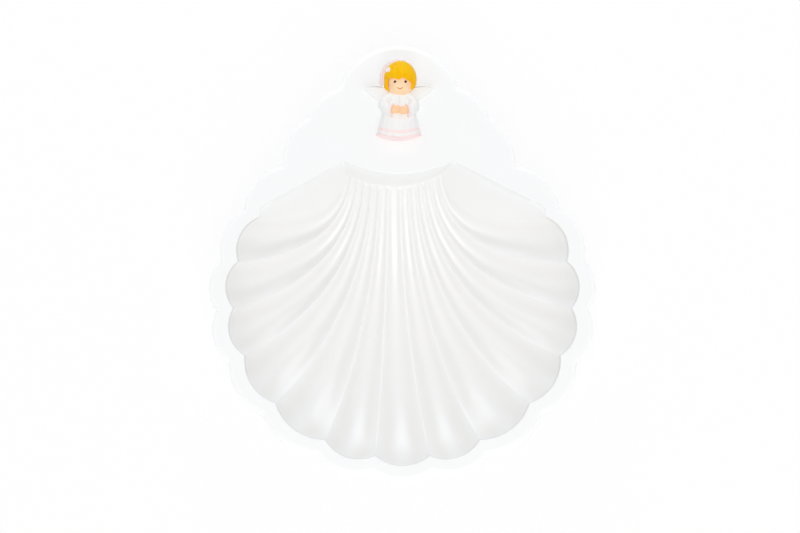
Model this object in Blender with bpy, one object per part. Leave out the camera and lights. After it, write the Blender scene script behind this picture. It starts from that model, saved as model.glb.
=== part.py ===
"""Baptismal shell: a moulded scallop dish with a flat handle, and a small angel glued to the handle.

Metres, +Z up, +Y towards the handle, +X to the right of someone who looks along +Y. The origin lies on
the surface that the dish stands on, under the middle of the whole part.
"""

import math

import bmesh
import bpy
from mathutils import Matrix, Vector

MM = 0.001

# Basin outline. Plan sizes are measured from the centre of the circle that the notches lie on.
NOTCH_DEGREES = (5.7, 16.8, 30.2, 42.9, 54.4, 66.0, 79.1)  # off the middle line, seen from the umbo
NOTCH_RADIUS = 55.3 * MM
UMBO_RISE = 30.5 * MM  # from the circle's centre up to the umbo, where the fan begins
LOBE_BOW = 3.2 * MM  # how far each lobe bows out past its two notches
EAR_DRAW_IN = 4.9 * MM  # how far the outermost notches lie inside the circle
EAR_STEP = 3.0 * MM  # from the outermost notch up to the straight edge of the ear
HANDLE_SIDE = -1.2 * MM  # hinge edge and handle lie a little left of the circle's centre
HINGE_HALF_WIDTH = 17.7 * MM
HINGE_PEAK = 9.2 * MM  # corners of the hinge edge above the umbo
HINGE_SAG = 4.2 * MM  # middle of the hinge edge below its corners

# Basin depth, below the rim's top face
COMB_SETBACK = 2.7 * MM  # run of the hinge wall, from the hinge edge to where the flutes start
COMB_SIDE = -2.7 * MM  # middle of the comb, the line where the flutes start
COMB_HALF_WIDTH = 15.8 * MM
COMB_SPREAD = 0.82  # below 1 the middle flutes start wider than the outer ones
COMB_DEPTH = 5.0 * MM
RIDGE_DEPTH = 17.5 * MM  # deepest point of the middle ridges
EAR_RIDGE_DEPTH = 9.0 * MM  # deepest point of the outermost ridges
FLUTE_DEPTH = 2.6 * MM  # troughs below their ridges at full width
COMB_FLUTE_DEPTH = 0.7 * MM  # the same where the flutes start
RIB_SPLAY = 0.11  # share of its fan angle at which a ridge leaves the comb
RIB_KNEE = 0.47  # where it bends outwards, as a share of its run
BOWL_ROUNDNESS = 0.6  # lower is flatter in the middle and steeper at the margin
EAR_FALL_OFF = 4  # how late, as a power of the fan share, the ear sizes take over
FLUTE_FULL = 0.8  # share of the run at which the flutes reach their full depth
FLUTE_FADE = 10  # how late, as a power of the run, they fade out at the margin

# Rim, handle and walls
RIM_WIDTH = 5.7 * MM
RIM_BOW = 2.9 * MM
WALL = 2.2 * MM
PLATE_THICKNESS = 3.0 * MM
EDGE_ROUND = 1.8 * MM
UNDER_EDGE_ROUND = 0.7 * MM
SHOULDER_HALF_WIDTH = 37.5 * MM  # lowest notch of the handle, and its rise above the umbo
SHOULDER_RISE = 8.0 * MM
CHEEK_HALF_WIDTH = 29.4 * MM
CHEEK_RISE = 23.9 * MM
CROWN_HALF_WIDTH = 18.9 * MM
CROWN_RISE = 34.0 * MM
HANDLE_REACH = 47.8 * MM  # top of the handle above the umbo
EAR_LOBE_BOW = 3.2 * MM
SHOULDER_BOW = 2.4 * MM
CHEEK_BOW = 1.6 * MM

# Foot ring under the bowl
FOOT_RADIUS = 20.0 * MM
FOOT_WIDTH = 2.6 * MM
FOOT_DROP = 1.0 * MM  # below the lowest flute
FOOT_DRAFT = 0.8 * MM  # each side of the ring spreads this much towards the bowl
FOOT_OFFSET = 2.5 * MM  # towards the handle, under the centre of mass

# Facets
FLUTE_STEPS = 8
FLANK_STEPS = 2
RIB_STEPS = 15
LOBE_STEPS = 8
CROWN_STEPS = 18
ROUND_STEPS = 3
FOOT_STEPS = 40

# Angel figure, lying on its back. Heights run up the handle from the hem, depths out of its flat back.
SEAM = 0.15 * MM  # gap at every glued joint
FIGURE_SETBACK = 10.7 * MM  # hem above the middle of the hinge edge
GLUE_THICKNESS = 0.5 * MM
GLUE_INSET = 1.2 * MM  # glue stays this far inside the edge of what it holds

ROBE_HEIGHT = 16.2 * MM  # up to the neck, which ends inside the cup for the head
HEM_HALF_WIDTH = 7.3 * MM
HEM_DEPTH = 5.4 * MM
HEM_RISE = 1.9 * MM  # sides of the hem above its middle
WAIST_HEIGHT = 8.6 * MM
WAIST_HALF_WIDTH = 5.5 * MM
WAIST_DEPTH = 4.4 * MM
NECK_HALF_WIDTH = 2.8 * MM
NECK_DEPTH = 2.4 * MM

# Middle line of the right sleeve, from the top of the robe: out, up and depth
SLEEVE_TOP = Vector((1.8, -2.8, 1.8)) * MM
SLEEVE_ELBOW = Vector((6.5, -5.2, 2.4)) * MM
SLEEVE_END = Vector((3.2, -7.4, 4.5)) * MM
SLEEVE_FACING = Vector((-0.93, -0.18, 0.32))  # way that its open end faces
SLEEVE_TOP_RADIUS = 1.7 * MM
SLEEVE_END_RADIUS = 2.1 * MM
CUFF_LENGTH = 0.7 * MM
CUFF_LIP = 0.25 * MM
HAND_RISE = 0.4 * MM  # hands above the middle of the cuffs
HAND_HALF_HEIGHT = 1.4 * MM
HAND_HALF_DEPTH = 1.2 * MM

HEAD_SEAT = 2.6 * MM  # centre of the head above the top of the robe
HEAD_SIDE = 0.5 * MM  # the head sits a little right of the robe's middle
HEAD_HALF_WIDTH = 4.2 * MM
HEAD_HALF_HEIGHT = 4.9 * MM
HEAD_HALF_DEPTH = 3.9 * MM
HEAD_LIFT = 2.2 * MM  # centre of the head above the figure's back
HAIR_THICKNESS = 1.0 * MM
HAIR_RISE = 1.1 * MM  # centre of the hair above the centre of the head
HAIR_BACK = 1.9 * MM  # back of the hair above the figure's back
FRINGE_HEIGHT = 0.6 * MM  # fringe above the centre of the head
FRINGE_LOCK = 0.7 * MM  # the lock in the middle of the fringe hangs this much lower
FACE_HALF_WIDTH = 4.0 * MM
LOCK_DROP = 3.0 * MM  # tips of the side locks below the centre of the head
LOCK_SLANT = 1.0 * MM  # outer corners of those tips above the inner ones

VEIL_THICKNESS = 0.6 * MM
VEIL_SHOW = 1.0 * MM  # veil beyond the hair
VEIL_SHIFT = 0.6 * MM  # it hangs this much to the left
VEIL_DROP = 1.0 * MM  # ends of the veil below the centre of the head

FLOWER_RADIUS = 0.9 * MM
FLOWER_PETALS = 5
PETAL_CUT = 0.2 * MM  # notches between the petals
FLOWER_THICKNESS = 0.6 * MM
FLOWER_OUT = 3.8 * MM
FLOWER_RISE = 2.2 * MM  # above the centre of the hair
BEAD_RADIUS = 0.4 * MM

WING_THICKNESS = 1.0 * MM
WING_HALF_SPAN = 11.4 * MM
WING_TIP_RISE = 1.0 * MM  # tips, and upper corners of the roots, above the top of the robe
WING_ROOT_OUT = 4.8 * MM
WING_ROOT_RISE = 1.4 * MM
WING_ROOT_HEIGHT = 5.0 * MM
WING_TOP_BOW = 0.5 * MM
WING_BOTTOM_BOW = 0.6 * MM
BRIDGE_HALF_WIDTH = 3.4 * MM  # strip across the robe's back that joins the wings
BRIDGE_DROP = 3.0 * MM  # its upper edge below the top of the robe
BRIDGE_HEIGHT = 1.8 * MM

FIGURE_STEPS = 12
PETAL_STEPS = 6
SMOOTH_ANGLE = math.radians(35.0)

# Sizes that follow from the ones above
FLUTES = 2 * len(NOTCH_DEGREES) - 1
FAN_HALF = math.radians(NOTCH_DEGREES[-1])
HINGE_TOP = UMBO_RISE + HINGE_PEAK
STAND_HEIGHT = RIDGE_DEPTH + FLUTE_DEPTH + WALL + FOOT_DROP
FIGURE_BACK = GLUE_THICKNESS + 2 * SEAM
ROBE_TOP = Vector((0.0, ROBE_HEIGHT, 0.0))
HEAD_HEIGHT = ROBE_HEIGHT + HEAD_SEAT
BRIDGE_TOP = ROBE_HEIGHT - BRIDGE_DROP
BRIDGE_BOTTOM = BRIDGE_TOP - BRIDGE_HEIGHT
HEAD_CENTRE = Vector((0.0, HEAD_HEIGHT, HEAD_LIFT))
HEAD_RADII = Vector((HEAD_HALF_WIDTH, HEAD_HALF_HEIGHT, HEAD_HALF_DEPTH))
HAIR_CENTRE = HEAD_CENTRE + Vector((0.0, HAIR_RISE, 0.0))
HAIR_RADII = HEAD_RADII + Vector((HAIR_THICKNESS, HAIR_THICKNESS, HAIR_THICKNESS))


def remove_all_objects():
    for item in list(bpy.data.objects):
        bpy.data.objects.remove(item, do_unlink=True)


def make_material(name, colour, roughness, coat=0.0):
    material = bpy.data.materials.new(name)
    material.use_nodes = True
    shader = material.node_tree.nodes["Principled BSDF"]
    shader.inputs["Base Color"].default_value = (*colour, 1.0)
    shader.inputs["Roughness"].default_value = roughness
    shader.inputs["Metallic"].default_value = 0.0
    shader.inputs["Coat Weight"].default_value = coat
    material.diffuse_color = (*colour, 1.0)
    return material


def make_empty(name, place, parent=None):
    empty = bpy.data.objects.new(name, None)
    empty.location = place
    empty.parent = parent
    bpy.context.scene.collection.objects.link(empty)
    return empty


def make_object(name, shape, parent, material=None):
    """One object from a bmesh. Without a material it is a cutter, which isn't a piece of the part."""
    bmesh.ops.recalc_face_normals(shape, faces=shape.faces)
    mesh = bpy.data.meshes.new(name)
    shape.to_mesh(mesh)
    shape.free()
    piece = bpy.data.objects.new(name, mesh)
    piece.parent = parent
    bpy.context.scene.collection.objects.link(piece)
    if material is None:
        piece.hide_render = True
        piece.display_type = "WIRE"
    else:
        mesh.materials.append(material)
        mesh.shade_smooth()
        mesh.set_sharp_from_angle(angle=SMOOTH_ANGLE)
    return piece


def boolean(piece, other, operation="DIFFERENCE"):
    modifier = piece.modifiers.new(other.name, "BOOLEAN")
    modifier.operation = operation
    modifier.solver = "EXACT"
    modifier.object = other


def add_strip(shape, first, second):
    """Quads between two closed loops of as many vertices."""
    for i in range(len(first)):
        shape.faces.new((first[i - 1], first[i], second[i], second[i - 1]))


def add_cap(shape, loop):
    """Close a loop whose points i and -i lie opposite each other, with a strip of quads across it."""
    half = len(loop) // 2
    shape.faces.new((loop[0], loop[1], loop[-1]))
    for i in range(1, half - 1):
        shape.faces.new((loop[i], loop[i + 1], loop[-i - 1], loop[-i]))
    shape.faces.new((loop[half - 1], loop[half], loop[half + 1]))


def loft(rings):
    """Closed solid through rings of points that all have the same count."""
    shape = bmesh.new()
    loops = [[shape.verts.new(point) for point in ring] for ring in rings]
    for first, second in zip(loops, loops[1:]):
        add_strip(shape, first, second)
    add_cap(shape, loops[0])
    add_cap(shape, loops[-1])
    return shape


def prism(outline, low, high):
    """Solid with one plan outline between two depths."""
    shape = bmesh.new()
    loops = [[shape.verts.new((point.x, point.y, depth)) for point in outline] for depth in (low, high)]
    add_strip(shape, *loops)
    for loop in loops:
        shape.faces.new(loop)
    return shape


def flatten(shape, point, keep_side):
    """Cut the shape by a plane, keep one side and close the cut."""
    geometry = shape.verts[:] + shape.edges[:] + shape.faces[:]
    bmesh.ops.bisect_plane(
        shape, geom=geometry, dist=1e-8, plane_co=point, plane_no=keep_side, clear_inner=True)
    open_edges = [edge for edge in shape.edges if edge.is_boundary]
    bmesh.ops.holes_fill(shape, edges=open_edges)


def ellipsoid(centre, radii, steps, back=None):
    """Ellipsoid with its poles up and down the figure, cut flat at the depth called back."""
    shape = bmesh.new()
    upright = Matrix.Rotation(math.pi / 2, 4, "X")
    place = Matrix.Translation(centre) @ Matrix.Diagonal((*radii, 1.0)) @ upright
    bmesh.ops.create_uvsphere(shape, u_segments=2 * steps, v_segments=steps, radius=1.0, matrix=place)
    if back is not None:
        flatten(shape, Vector((0.0, 0.0, back)), Vector((0.0, 0.0, 1.0)))
    return shape


def mix(first, second, share):
    return first + (second - first) * share


def curve_point(start, knee, end, share):
    """Point on the quadratic curve that leaves start and reaches end by way of the knee."""
    return mix(mix(start, knee, share), mix(knee, end, share), share)


def ease(share):
    return (1.0 - math.cos(math.pi * min(max(share, 0.0), 1.0))) / 2


def bowed(start, end, bow, steps):
    """Arc from start up to, not including, end. It bows out to the right of the way it runs."""
    chord = end - start
    along = chord.normalized()
    outward = Vector((along.y, -along.x))
    radius = (chord.length ** 2 / 4 + bow ** 2) / (2 * bow)
    centre = (start + end) / 2 + outward * (bow - radius)
    half = math.atan2(chord.length / 2, radius - bow)
    angles = [half * (2 * i / steps - 1) for i in range(steps)]
    return [centre + (outward * math.cos(a) + along * math.sin(a)) * radius for a in angles]


def inset(outline, distance):
    """An outline that runs counter-clockwise, moved inwards by the distance."""
    moved = []
    for i, point in enumerate(outline):
        along = (outline[(i + 1) % len(outline)] - outline[i - 1]).normalized()
        moved.append(point + Vector((-along.y, along.x)) * distance)
    return moved


def mirrored(points):
    """Plan points mirrored to the left side, in reverse so that an outline keeps its direction."""
    return [Vector((-point.x, point.y)) for point in reversed(points)]


def pushed(point, distance):
    """A plan point moved straight away from the middle of the basin."""
    return point + point.normalized() * distance


def fan_direction(angle):
    return Vector((math.sin(angle), -math.cos(angle)))


def notch(index):
    """A notch of the basin's edge, counted from the left ear round the front to the right ear."""
    share = abs(2 * index / FLUTES - 1)
    off_middle = index - FLUTES / 2
    angle = math.copysign(math.radians(NOTCH_DEGREES[int(abs(off_middle))]), off_middle)
    radius = NOTCH_RADIUS - EAR_DRAW_IN * share ** EAR_FALL_OFF
    across = UMBO_RISE * math.sin(angle)
    reach = UMBO_RISE * math.cos(angle) + math.sqrt(radius ** 2 - across ** 2)
    return Vector((0.0, UMBO_RISE)) + fan_direction(angle) * reach


def spread(share):
    """Share of the comb's half width that a share of the fan starts at."""
    return math.copysign(abs(share) ** COMB_SPREAD, share)


def hinge_point(share):
    """A point of the hinge edge, from its left corner at -1 to its right corner at 1."""
    across = HANDLE_SIDE + share * HINGE_HALF_WIDTH
    return Vector((across, HINGE_TOP - HINGE_SAG * (1 - share ** 2)))


def comb_point(share):
    """Where the flutes start, at the foot of the hinge wall."""
    across = COMB_SIDE + share * COMB_HALF_WIDTH
    return Vector((across, hinge_point(share).y - COMB_SETBACK))


def bowl_drop(along, start, deepest):
    """Fall of a ridge below its edge: start at the comb, deepest about halfway, 0 at the margin."""
    begun = (1 - math.sqrt(1 - (start / deepest) ** (1 / BOWL_ROUNDNESS))) / 2
    place = begun + (1 - begun) * along
    return deepest * max(0.0, 1 - (2 * place - 1) ** 2) ** BOWL_ROUNDNESS


def flute_drop(along, phase):
    """Fall of a trough below its ridges. It fades out at the margin, where the lobe bows out instead."""
    full = mix(COMB_FLUTE_DEPTH, FLUTE_DEPTH, ease(along / FLUTE_FULL))
    return full * (1 - along ** FLUTE_FADE) * math.sin(math.pi * phase)


def rib_line(share, phase, margin, grow, edge):
    """Points of one line of the basin's surface, from the comb to the margin."""
    comb = pushed(comb_point(spread(share)), grow)
    end = pushed(margin, grow)
    knee = comb + fan_direction(RIB_SPLAY * share * FAN_HALF) * RIB_KNEE * (end - comb).length
    deepest = mix(RIDGE_DEPTH, EAR_RIDGE_DEPTH, abs(share) ** EAR_FALL_OFF) + grow + edge
    points = []
    for i in range(RIB_STEPS + 1):
        along = ease(i / RIB_STEPS)
        drop = bowl_drop(along, COMB_DEPTH + grow + edge, deepest) + flute_drop(along, phase)
        points.append(Vector((*curve_point(comb, knee, end, along), edge - drop)))
    return points


def ear_line(side, grow, edge):
    """Points of the ear's straight edge, from beside the comb to the ear's corner."""
    corner = notch(FLUTES)
    start = pushed(hinge_point(side), grow)
    end = pushed(Vector((side * corner.x, corner.y + EAR_STEP)), grow)
    shares = [(i + 1) / (RIB_STEPS + 1) for i in range(RIB_STEPS + 1)]
    return [Vector((*mix(start, end, share), edge)) for share in shares]


def basin_columns(grow, edge):
    """The fluted basin as columns of points, left ear to right ear, each from the hinge to the margin.

    grow pushes the whole surface out and down, for the outside of the wall. edge is the height at
    which the surface ends, 0 being the rim's top face.
    """
    lobes = []
    for index in range(FLUTES):
        lobes += bowed(notch(index), notch(index + 1), LOBE_BOW, FLUTE_STEPS)
    lobes.append(notch(FLUTES))
    fan_share = FLUTES * FLUTE_STEPS / (FLUTES * FLUTE_STEPS + 2 * FLANK_STEPS)
    fan = []
    for index, margin in enumerate(lobes):
        share = 2 * index / (FLUTES * FLUTE_STEPS) - 1
        phase = index % FLUTE_STEPS / FLUTE_STEPS
        hinge = pushed(hinge_point(spread(share) * fan_share), grow)
        fan.append([Vector((*hinge, edge)), *rib_line(share, phase, margin, grow, edge)])
    flanks = {}
    for side, last in ((-1, fan[0]), (1, fan[-1])):
        outer = ear_line(side, grow, edge)
        flanks[side] = []
        for step in range(1, FLANK_STEPS + 1):
            share = step / FLANK_STEPS
            hinge = pushed(hinge_point(side * mix(fan_share, 1.0, share)), grow)
            blend = [mix(inner, rim, share) for inner, rim in zip(last[1:], outer)]
            flanks[side].append([Vector((*hinge, edge)), *blend])
    return flanks[-1][::-1] + fan + flanks[1]


def add_basin(shape, grow, edge):
    """Add the basin's surface and return its border, a closed loop of vertices at the edge height."""
    columns = [[shape.verts.new(point) for point in column] for column in basin_columns(grow, edge)]
    for left, right in zip(columns, columns[1:]):
        for i in range(len(left) - 1):
            shape.faces.new((left[i], left[i + 1], right[i + 1], right[i]))
    hinge = [column[0] for column in columns]
    margin = [column[-1] for column in columns]
    return hinge + columns[-1][1:-1] + margin[::-1] + columns[0][-2:0:-1]


def fill_between(shape, *loops):
    """Fill a flat face between closed loops that lie at one height."""
    edges = []
    for loop in loops:
        for i, vertex in enumerate(loop):
            edges.append(shape.edges.get((loop[i - 1], vertex)) or shape.edges.new((loop[i - 1], vertex)))
    bmesh.ops.triangle_fill(shape, use_beauty=True, edges=edges)


def dish_outline():
    """Outer edge of the rim and the handle, counter-clockwise from the left ear round the front."""
    rim = [pushed(notch(index), RIM_WIDTH) for index in range(FLUTES + 1)]
    shoulder = Vector((SHOULDER_HALF_WIDTH, SHOULDER_RISE))
    cheek = Vector((CHEEK_HALF_WIDTH, CHEEK_RISE))
    crown = Vector((CROWN_HALF_WIDTH, CROWN_RISE))
    side = [shoulder, cheek, crown]
    middle = Vector((HANDLE_SIDE, UMBO_RISE))
    corners = rim + [middle + corner for corner in side + mirrored(side)] + [rim[0]]
    side_bows = [EAR_LOBE_BOW, SHOULDER_BOW, CHEEK_BOW]
    crown_bow = HANDLE_REACH - CROWN_RISE
    bows = [RIM_BOW] * FLUTES + side_bows + [crown_bow] + side_bows[::-1]
    points = []
    for start, end, bow in zip(corners, corners[1:], bows):
        points += bowed(start, end, bow, CROWN_STEPS if bow == crown_bow else LOBE_STEPS)
    return points


def make_dish(parent, material):
    shape = bmesh.new()
    inner_border = add_basin(shape, 0.0, 0.0)
    outer_border = add_basin(shape, WALL, -PLATE_THICKNESS)
    outline = dish_outline()
    round_over = min(EDGE_ROUND, PLATE_THICKNESS - UNDER_EDGE_ROUND)
    rows = []
    for step in range(ROUND_STEPS + 1):
        turn = math.pi / 2 * step / ROUND_STEPS
        rows.append((round_over * (1 - math.sin(turn)), round_over * (math.cos(turn) - 1)))
    rows.append((0.0, UNDER_EDGE_ROUND - PLATE_THICKNESS))
    rows.append((UNDER_EDGE_ROUND, -PLATE_THICKNESS))
    loops = []
    for distance, height in rows:
        loops.append([shape.verts.new((*point, height)) for point in inset(outline, distance)])
    for first, second in zip(loops, loops[1:]):
        add_strip(shape, first, second)
    fill_between(shape, loops[0], inner_border)
    fill_between(shape, loops[-1], outer_border)
    dish = make_object("shell_dish", shape, parent, material)
    boolean(dish, make_foot(parent), "UNION")


def make_foot(parent):
    """Ring under the bowl that reaches up to the middle of the bowl's wall."""
    shape = bmesh.new()
    top = -COMB_DEPTH
    sides = ((FOOT_RADIUS - FOOT_WIDTH, -FOOT_DRAFT), (FOOT_RADIUS, FOOT_DRAFT))
    profile = []
    for (radius, draft), heights in zip(sides, ((top, -STAND_HEIGHT), (-STAND_HEIGHT, top))):
        for height in heights:
            spread = draft * (height + STAND_HEIGHT) / (top + STAND_HEIGHT)
            profile.append(Vector((radius + spread, FOOT_OFFSET, height)))
    vertices = [shape.verts.new(point) for point in profile]
    edges = [shape.edges.new((vertices[i - 1], vertices[i])) for i in range(len(vertices))]
    bmesh.ops.spin(
        shape, geom=vertices + edges, cent=(0.0, FOOT_OFFSET, 0.0), axis=(0.0, 0.0, 1.0),
        angle=2 * math.pi, steps=FOOT_STEPS, use_merge=True)
    ring = make_object("foot_ring", shape, parent)
    hollow = bmesh.new()
    fill_between(hollow, add_basin(hollow, WALL / 2, 0.0))
    boolean(ring, make_object("foot_ring_top", hollow, parent))
    return ring


def robe_size(height):
    """Half width and depth of the robe: a straight flare from the waist to the hem, round shoulders."""
    if height < WAIST_HEIGHT:
        share = height / WAIST_HEIGHT
        return mix(HEM_HALF_WIDTH, WAIST_HALF_WIDTH, share), mix(HEM_DEPTH, WAIST_DEPTH, share)
    share = min((height - WAIST_HEIGHT) / (ROBE_HEIGHT - WAIST_HEIGHT), 1.0)
    wide = math.sqrt(1 - share ** 2)
    return mix(NECK_HALF_WIDTH, WAIST_HALF_WIDTH, wide), mix(NECK_DEPTH, WAIST_DEPTH, wide)


def robe_shape(grow):
    """Half-round sections stacked from the hem to the neck, with a flat back, pushed out by grow."""
    half_steps = FIGURE_STEPS // 2
    heights = [mix(-grow, WAIST_HEIGHT, i / half_steps) for i in range(half_steps)]
    for i in range(FIGURE_STEPS + 1):
        heights.append(mix(WAIST_HEIGHT, ROBE_HEIGHT + grow, math.sin(math.pi / 2 * i / FIGURE_STEPS)))
    rings = []
    for height in heights:
        half_width, depth = robe_size(height)
        lift = HEM_RISE * max(0.0, 1 - height / WAIST_HEIGHT)
        ring = []
        for j in range(2 * FIGURE_STEPS):
            turn = math.pi * j / FIGURE_STEPS
            across = math.cos(turn)
            depth_here = max(0.0, math.sin(turn)) * (depth + 2 * grow) - grow
            ring.append(Vector((across * (half_width + grow), height + lift * across ** 2, depth_here)))
        rings.append(ring)
    return loft(rings)


def make_robe(parent, material, cutters):
    """Robe with a cup in its neck for the head and a rebate in its back for the wings."""
    robe = make_object("robe", robe_shape(0.0), parent, material)
    boolean(robe, cutters["head"])
    boolean(robe, cutters["wings"])


def sleeve_section(side, share, lip=0.0, beyond=0.0):
    """Oval section of a sleeve at a share of its bent middle line, or beyond its end."""
    flip = Vector((side, 1.0, 1.0))
    top, elbow, end = [ROBE_TOP + place * flip for place in (SLEEVE_TOP, SLEEVE_ELBOW, SLEEVE_END)]
    along = (elbow - top).normalized().slerp((SLEEVE_FACING * flip).normalized(), share)
    across = Vector((along.y, -along.x, 0.0)).normalized()
    out = along.cross(across)
    radius = mix(SLEEVE_TOP_RADIUS, SLEEVE_END_RADIUS, share) + lip
    centre = curve_point(top, elbow, end, share) + along * beyond
    ring = []
    for j in range(2 * FIGURE_STEPS):
        turn = math.pi * j / FIGURE_STEPS
        ring.append(centre + (across * math.cos(turn) + out * math.sin(turn)) * radius)
    return ring


def make_sleeve(name, side, parent, material, cutters):
    rings = [sleeve_section(side, i / FIGURE_STEPS) for i in range(FIGURE_STEPS + 1)]
    sleeve = make_object(name, loft(rings), parent, material)
    for room in ("wings", "head", "robe"):
        boolean(sleeve, cutters[room])


def make_cuff(name, side, parent, material, cutters):
    rings = [sleeve_section(side, 1.0, CUFF_LIP, beyond) for beyond in (SEAM, SEAM + CUFF_LENGTH)]
    boolean(make_object(name, loft(rings), parent, material), cutters["robe"])


def make_hand(name, side, parent, material, cutters):
    """Half of the folded hands, from the cuff to the middle of the chest."""
    flip = Vector((side, 1.0, 1.0))
    along = (SLEEVE_FACING * flip).normalized()
    wrist = ROBE_TOP + SLEEVE_END * flip + along * (2 * SEAM + CUFF_LENGTH)
    centre = Vector((wrist.x / 2, wrist.y + HAND_RISE, wrist.z))
    radii = (abs(wrist.x), HAND_HALF_HEIGHT, HAND_HALF_DEPTH)
    shape = ellipsoid(centre, radii, FIGURE_STEPS)
    flatten(shape, wrist, along)
    flatten(shape, Vector((side * SEAM / 2, 0.0, 0.0)), Vector((side, 0.0, 0.0)))
    boolean(make_object(name, shape, parent, material), cutters["robe"])


def make_head(parent, material):
    make_object("head", ellipsoid(HEAD_CENTRE, HEAD_RADII, FIGURE_STEPS, 0.0), parent, material)


def face_window():
    """Outline of the opening in the hair: fringe with a middle lock, and side locks that turn in."""
    fringe = HEAD_HEIGHT + FRINGE_HEIGHT
    tip = HEAD_HEIGHT - LOCK_DROP
    outside = HAIR_RADII.x + HAIR_THICKNESS
    below = HEAD_HEIGHT - 2 * HEAD_HALF_HEIGHT
    lock = Vector((0.0, fringe - FRINGE_LOCK))
    side = [Vector((outside, below)), Vector((outside, tip + LOCK_SLANT))]
    side += [Vector((FACE_HALF_WIDTH - HAIR_THICKNESS / 2, tip)), Vector((FACE_HALF_WIDTH, HEAD_HEIGHT))]
    side += [Vector((FACE_HALF_WIDTH - HAIR_THICKNESS / 2, fringe - FRINGE_LOCK / 2))]
    side += [Vector((FRINGE_LOCK, fringe))]
    return side + [lock] + mirrored(side)


def make_hair(parent, material, cutters):
    cap = ellipsoid(HAIR_CENTRE, HAIR_RADII, FIGURE_STEPS, HAIR_BACK)
    hair = make_object("hair", cap, parent, material)
    front = HAIR_CENTRE.z + HAIR_RADII.z + HAIR_THICKNESS
    window = make_object("face_window", prism(face_window(), 0.0, front), parent)
    boolean(hair, cutters["head"])
    boolean(hair, window)


def make_veil(parent, material, cutters):
    """Arch behind the hair, round the back of the head."""
    low = HEAD_HEIGHT - VEIL_DROP
    half_width = HAIR_RADII.x + VEIL_SHOW
    half_height = HAIR_RADII.y + VEIL_SHOW
    start = math.asin((low - HAIR_CENTRE.y) / half_height)
    outline = []
    for i in range(2 * FIGURE_STEPS + 1):
        turn = mix(start, math.pi - start, i / (2 * FIGURE_STEPS))
        across = half_width * math.cos(turn) - VEIL_SHIFT
        outline.append(Vector((across, HAIR_CENTRE.y + half_height * math.sin(turn))))
    high = HAIR_BACK - SEAM
    veil = make_object("veil", prism(outline, high - VEIL_THICKNESS, high), parent, material)
    boolean(veil, cutters["head"])


def make_flower(parent, petals_material, bead_material):
    """Flower that lies flat against the left of the hair, with a bead in its middle."""
    out = Vector((-FLOWER_OUT, FLOWER_RISE, 0.0))
    reach = 1 - (out.x / HAIR_RADII.x) ** 2 - (out.y / HAIR_RADII.y) ** 2
    out.z = HAIR_RADII.z * math.sqrt(reach)
    facing = Vector([out[i] / HAIR_RADII[i] ** 2 for i in range(3)]).normalized()
    outline = []
    for i in range(FLOWER_PETALS * PETAL_STEPS):
        turn = 2 * math.pi * i / (FLOWER_PETALS * PETAL_STEPS)
        radius = FLOWER_RADIUS - PETAL_CUT * (1 - abs(math.sin(FLOWER_PETALS * turn / 2)))
        outline.append(Vector((radius * math.cos(turn), radius * math.sin(turn))))
    place = make_empty("flower_place", HAIR_CENTRE + out + facing * SEAM, parent)
    place.rotation_euler = facing.to_track_quat("Z", "Y").to_euler()
    make_object("hair_flower", prism(outline, 0.0, FLOWER_THICKNESS), place, petals_material)
    seat = FLOWER_THICKNESS + SEAM
    dome = ellipsoid(Vector((0.0, 0.0, seat)), (BEAD_RADIUS,) * 3, FIGURE_STEPS // 2, seat)
    make_object("flower_bead", dome, place, bead_material)


def wing_outline():
    tip = Vector((WING_HALF_SPAN, ROBE_HEIGHT + WING_TIP_RISE))
    root = Vector((WING_ROOT_OUT, ROBE_HEIGHT + WING_ROOT_RISE))
    low = root - Vector((0.0, WING_ROOT_HEIGHT))
    side = [Vector((BRIDGE_HALF_WIDTH, BRIDGE_BOTTOM))]
    side += bowed(low, tip, WING_BOTTOM_BOW, LOBE_STEPS)
    side += bowed(tip, root, WING_TOP_BOW, LOBE_STEPS)
    side += [root, Vector((BRIDGE_HALF_WIDTH, BRIDGE_TOP))]
    return side + mirrored(side)


def make_wings(parent, material):
    make_object("wing_pair", prism(wing_outline(), 0.0, WING_THICKNESS), parent, material)


def make_glue(parent, material):
    """Two pads between the figure's flat back and the handle."""
    low = HEM_RISE + GLUE_INSET
    high = BRIDGE_BOTTOM - GLUE_INSET
    foot = [Vector((robe_size(height)[0] - GLUE_INSET, height)) for height in (low, high)]
    make_object("robe_glue_pad", prism(foot + mirrored(foot), SEAM, SEAM + GLUE_THICKNESS), parent, material)
    flat = math.sqrt(1 - (HEAD_LIFT / HEAD_HALF_DEPTH) ** 2)
    circle = []
    for i in range(2 * FIGURE_STEPS):
        turn = math.pi * i / FIGURE_STEPS
        across = (HEAD_HALF_WIDTH * flat - GLUE_INSET) * math.cos(turn)
        up = (HEAD_HALF_HEIGHT * flat - GLUE_INSET) * math.sin(turn)
        circle.append(Vector((HEAD_SIDE + across, HEAD_HEIGHT + up)))
    make_object("head_glue_pad", prism(circle, SEAM, SEAM + GLUE_THICKNESS), parent, material)


def make_cutters(parent, neck):
    """Robe, head and wings, each a seam larger than the piece, to cut what seats against it."""
    gap = Vector((SEAM, SEAM, SEAM))
    wings = prism(inset(wing_outline(), -SEAM), -SEAM, WING_THICKNESS + SEAM)
    return {
        "robe": make_object("robe_room", robe_shape(SEAM), parent),
        "head": make_object("head_room", ellipsoid(HEAD_CENTRE, HEAD_RADII + gap, FIGURE_STEPS), neck),
        "wings": make_object("wing_room", wings, parent),
    }


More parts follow.
